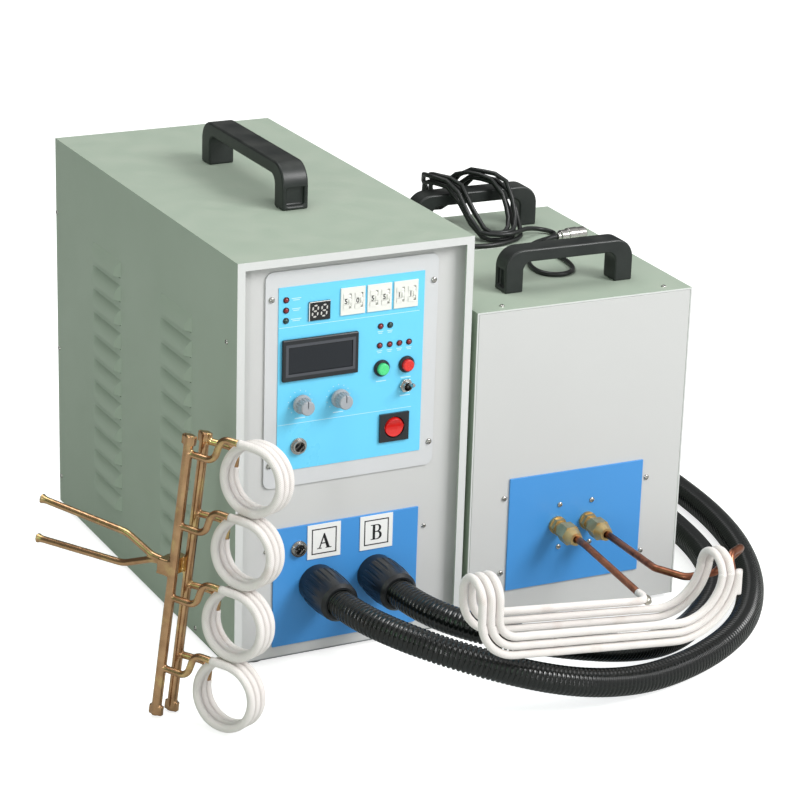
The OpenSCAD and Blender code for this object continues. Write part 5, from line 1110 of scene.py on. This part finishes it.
screws("transformer_side_screws", [
    (on_unit(u, v, z), UNIT_LEFTWARD * sign) for u, sign in ((0, 1), (UNIT_W / MM, -1))
    for v, z in ((20, 22), (290, 22), (20, 320), (290, 320))], 0.005, seed=7)
screws("rear_panel_screws", [
    (Vector((x, REAR_Y, z)), REARWARD) for x in (-0.113, 0.113) for z in (0.02, 0.21, 0.408)]
    + [(on_unit(u, UNIT_D / MM, z), -UNIT_FRONTWARD) for u in (10, 234) for z in (20, 328)],
    0.005, seed=8)
bpy.data.objects.remove(SCREW)

# ---------------------------------------------------------------- lamps
LAMPS = {
    "lamp_red": [(-70.8, 379.5), (-70.8, 369.2), (30.0, 341.0), (29.5, 321.3), (40.3, 321.3),
                 (50.8, 321.3), (61.3, 321.3)],
    "lamp_green": [(-70.8, 358.9), (40.2, 341.0)],
}
LENS_R, LENS_RIM, LENS_RISE = 0.00235, 0.0002, 0.002
DOME = [(LENS_R, 0.0)] + [
    (LENS_R * math.sin(math.radians(a)), LENS_RIM + LENS_RISE * math.cos(math.radians(a)))
    for a in (88, 75, 60, 45, 30, 15)] + [(0.0, LENS_RIM + LENS_RISE)]
COLLAR = [(0.0024, 0.0), (0.0031, 0.0), (0.0031, 0.0007), (0.0028, 0.0009), (0.0024, 0.0006)]
FRONT_TURN = Matrix.Rotation(math.radians(90), 4, "X")


def at_face(x, z, y=FACE_Y):
    """Turns a part drawn up Z to look out of the panel at x and z, in mm."""
    return Matrix.Translation((x * MM, y, z * MM)) @ FRONT_TURN


for lens, places in LAMPS.items():
    finished(lens + "_domes", turned(DOME, [at_face(x, z) for x, z in places], 20, 50), lens,
             stands_for=["indicator_lamps"])
collars = [at_face(x, z) for places in LAMPS.values() for x, z in places]
finished("lamp_collars", turned(COLLAR + COLLAR[:1], collars, 20, 50), "black_plastic")

# ---------------------------------------------------------------- printing and small marks
def extent(mesh):
    """The lowest and highest corner of a mesh."""
    rows = [v.co for v in mesh.vertices]
    return (Vector(min(p[i] for p in rows) for i in range(3)),
            Vector(max(p[i] for p in rows) for i in range(3)))


def span(node):
    return extent(NODES[node].data)


def middle(node):
    low, high = span(node)
    return (low + high) / 2


def lettered(text, height, thick=0.00012):
    """Flat lettering standing in x and z, facing the front, centred on zero."""
    curve = bpy.data.curves.new("lettering", "FONT")
    curve.body, curve.size = text, height * 1.38
    curve.align_x, curve.align_y = "CENTER", "CENTER"
    curve.extrude, curve.resolution_u, curve.offset = thick / 2, 3, height * 0.03
    mesh = evaluated(placed("lettering", curve))
    mesh.transform(FRONT_TURN)
    low, high = extent(mesh)
    mesh.transform(Matrix.Translation(-(low + high) / 2))
    return mesh


def printed(name, outlines, material, y=FACE_Y, thick=0.00006):
    return finished(name, plates(outlines, y, thick), material)


printed("group_lines", [rectangle(-3, 352, 150, 0.5), rectangle(-6, 253.5, 144, 0.5)], "ink_pale")
dashes = []
for x, z, w in ((-60.0, 379.5, 10), (-60.0, 369.2, 9), (-60.0, 358.9, 11), (30.0, 334.6, 6),
                (40.2, 334.6, 6), (29.5, 314.9, 6), (40.3, 314.9, 6), (50.8, 314.9, 6),
                (61.3, 314.9, 6)):
    dashes += [rectangle(x, z + 0.8, w, 0.8), rectangle(x, z - 0.9, w * 0.7, 0.8)]
for node, drop in (("start_button", 13.5), ("stop_button", 13.5), ("knob_left", 15.5),
                   ("knob_right", 15.5), ("toggle_bat", 13.0)):
    at = middle(node) / MM
    dashes.append(rectangle(at.x, at.z - drop, 11, 1.0))
printed("label_dashes", dashes, "ink_pale")
DOT_COUNT, DOT_RING, DOT_R = 11, 12.6, 0.55
dots = []
for node in ("knob_left", "knob_right"):
    at = middle(node) / MM
    for k in range(DOT_COUNT):
        a = math.radians(225 - 270 * k / (DOT_COUNT - 1))
        x, z = at.x + DOT_RING * math.cos(a), at.z + DOT_RING * math.sin(a)
        dots.append([(x + DOT_R * math.cos(b), z + DOT_R * math.sin(b))
                     for b in (t * math.tau / 10 for t in range(10))])
printed("knob_scale_dots", dots, "ink_pale")

# Meter: a grey band round the smoked window
RIM_W = 2.8
lens_low, lens_high = span("meter_lens")
meter_at = middle("meter_case") / MM
printed("meter_rim", ring_outlines(
    meter_at.x, meter_at.z, (lens_high.x - lens_low.x) / MM + RIM_W * 2,
    (lens_high.z - lens_low.z) / MM + RIM_W * 2, RIM_W), "rim_grey", span("meter_case")[0].y,
    0.00012)

# Two-figure display: the unlit segments show grey behind the window
SEGMENTS = ((0, 1), (0, 0), (0, -1), (-1, 0.5), (1, 0.5), (-1, -0.5), (1, -0.5))


def figure(cx, cz, w, h, line):
    """Seven bars with pointed ends, leaning a little."""
    rows = []
    for across, up in SEGMENTS:
        half = (h / 4 if across else w / 2) - line * 0.62
        x, z = across * w / 2, up * h / 2
        shape = [(-half, 0), (-half + line / 2, line / 2), (half - line / 2, line / 2),
                 (half, 0), (half - line / 2, -line / 2), (-half + line / 2, -line / 2)]
        if across:
            shape = [(pz, px) for px, pz in shape]
        rows.append([(cx + x + px + (z + pz) * 0.1, cz + z + pz) for px, pz in shape])
    return rows


display_low, display_high = span("digit_display")
display_at = (display_low + display_high) / 2 / MM
segments = []
for shift in (-4.7, 4.7):
    segments += figure(display_at.x + shift, display_at.z, 5.4, 11.0, 1.5)
printed("display_segments", segments, "segment_grey", display_low.y, 0.00008)
half_w = (display_high.x - display_low.x) / MM / 2
half_h = (display_high.z - display_low.z) / MM / 2
printed("display_rim", [
    rectangle(display_at.x - half_w + 0.35, display_at.z, 0.7, half_h * 2),
    rectangle(display_at.x, display_at.z + half_h - 0.35, half_w * 2, 0.7)], "tag_white",
    display_low.y, 0.00008)

# Digit switches: figures on the ten faces of each wheel
DRUM_FLAT = 0.00987 * math.cos(math.radians(18))
AXLE_Y, AXLE_Z = -0.226135, 0.37085
SHOWN = (5, 0, 5, 5, 1, 1)
FIGURE_H, FIGURE_THICK, FIGURE_SHIFT, FIGURE_NARROW = 0.0051, 0.0001, 0.0012, 0.92
FIGURES = [lettered(str(d), FIGURE_H, FIGURE_THICK) for d in range(10)]
for k, shown in enumerate(SHOWN):
    at = middle(f"digit_wheel_{k + 1}")
    rows = []
    for face in range(10):
        mesh = FIGURES[(shown + face) % 10].copy()
        mesh.transform(
            Matrix.Translation((at.x - FIGURE_SHIFT, AXLE_Y, AXLE_Z))
            @ Matrix.Rotation(math.radians(36 * face), 4, "X")
            @ Matrix.Translation((0, -DRUM_FLAT - FIGURE_THICK / 5, 0))
            @ Matrix.Scale(FIGURE_NARROW, 4, (1, 0, 0)))
        rows.append(mesh)
    finished(f"wheel_figures_{k + 1}", joined(rows), "ink_black",
             f"digit_wheel_{k + 1}")

# The switches' front mouldings leave one figure of each wheel in view
WINDOW_SHIFT, WINDOW_W, WINDOW_THICK = 1.35, 5.8, 0.0002
masks = []
for k in range(6):
    at = middle(f"digit_wheel_{k + 1}") / MM
    for side in (-1, 1):
        for rise, height, y in ((5.6, 4.6, -0.2361), (7.75, 0.3, -0.2359)):
            masks.append(plates([rectangle(at.x - WINDOW_SHIFT, AXLE_Z / MM + side * rise,
                                           WINDOW_W, height)], y, WINDOW_THICK))
finished("wheel_windows", joined(masks), "wheel_white")

# ---------------------------------------------------------------- sockets and tags
SOCKET_NECK, SOCKET_WELL = 0.0056, 0.0061
INSERT = [(0, 0), (SOCKET_NECK * 0.78, 0), (SOCKET_NECK * 0.78, 0.0008),
          (SOCKET_NECK * 0.66, 0.0012), (0, 0.0012)]
finished("socket_inserts", joined([
    turned(INSERT, [at_face(x, z, y + SOCKET_WELL - 0.0001)], 26, 35, False)
    for x, z, y in ((-55.6, 229.8, FACE_Y), (-51.25, 121.26, PLATE_Y))]), "black_plastic")

TAG_Y, TAG_Z, TAG_SIZE, TAG_LINE, LETTER_SCALE = -0.2345, 125.8, 27, 1.2, 1.15


def bowl(x, z, w, h, line):
    """Half a letter's round side, thick at the right and thin at both ends."""
    turns = [math.pi * i / 16 for i in range(17)]
    return ([(x + w * math.sin(t), z + h / 2 * math.cos(t)) for t in turns]
            + [(x + (w - line) * math.sin(t), z + (h / 2 - line * 0.42) * math.cos(t))
               for t in reversed(turns)])


LETTERS = {
    "A": [[(-5.1, -7), (-0.3, 7), (0.9, 7), (-3.8, -7)],
          [(2.6, -7), (-1.1, 5.2), (0.6, 7), (5.6, -7)],
          [(-3.2, -2.6), (-3.2, -1.6), (3, -1.6), (3, -2.6)],
          [(-6.6, -7), (-6.6, -6.2), (-2.2, -6.2), (-2.2, -7)],
          [(1.4, -7), (1.4, -6.2), (7, -6.2), (7, -7)]],
    "B": [[(-3.6, -7), (-3.6, 7), (-1.2, 7), (-1.2, -7)],
          [(-5.4, 6.2), (-5.4, 7), (1, 7), (1, 6.2)],
          [(-5.4, -7), (-5.4, -6.2), (1, -6.2), (1, -7)],
          [(-1.3, -0.1), (-1.3, 0.8), (1, 0.8), (1, -0.1)],
          bowl(0.9, 3.55, 3.6, 6.9, 2.2), bowl(0.9, -3.1, 4.3, 7.8, 2.4)],
}
borders = []
for letter, x in (("A", -25.7), ("B", 31.6)):
    borders += ring_outlines(x, TAG_Z, TAG_SIZE, TAG_SIZE, TAG_LINE)
    borders += [[(x + px * LETTER_SCALE, TAG_Z + pz * LETTER_SCALE) for px, pz in shape]
                for shape in LETTERS[letter]]
printed("port_tag_print", borders, "ink_black", TAG_Y)

# ---------------------------------------------------------------- solder on the coil
def blob(at, radii, seed, axis):
    """A small lump of solder along an axis, uneven all round."""
    work = bmesh.new()
    bmesh.ops.create_icosphere(work, subdivisions=3, radius=1.0)
    for vert in work.verts:
        swell = 1 + 0.12 * noise.noise(vert.co * 1.7 + Vector((seed, seed, seed)))
        vert.co = Vector(vert.co[i] * radii[i] * swell for i in range(3))
    bmesh.ops.rotate(work, verts=work.verts, matrix=Vector((1, 0, 0)).rotation_difference(
        Vector(axis)).to_matrix())
    bmesh.ops.translate(work, verts=work.verts, vec=at)
    for face in work.faces:
        face.smooth = True
    return mesh_of(work, "blob")


finished("coil_solder", blob(Vector((0.23249, -0.4215, 0.0938)), (0.0062, 0.0049, 0.0048), 3,
                             (0, -1, -0.12)), "solder")
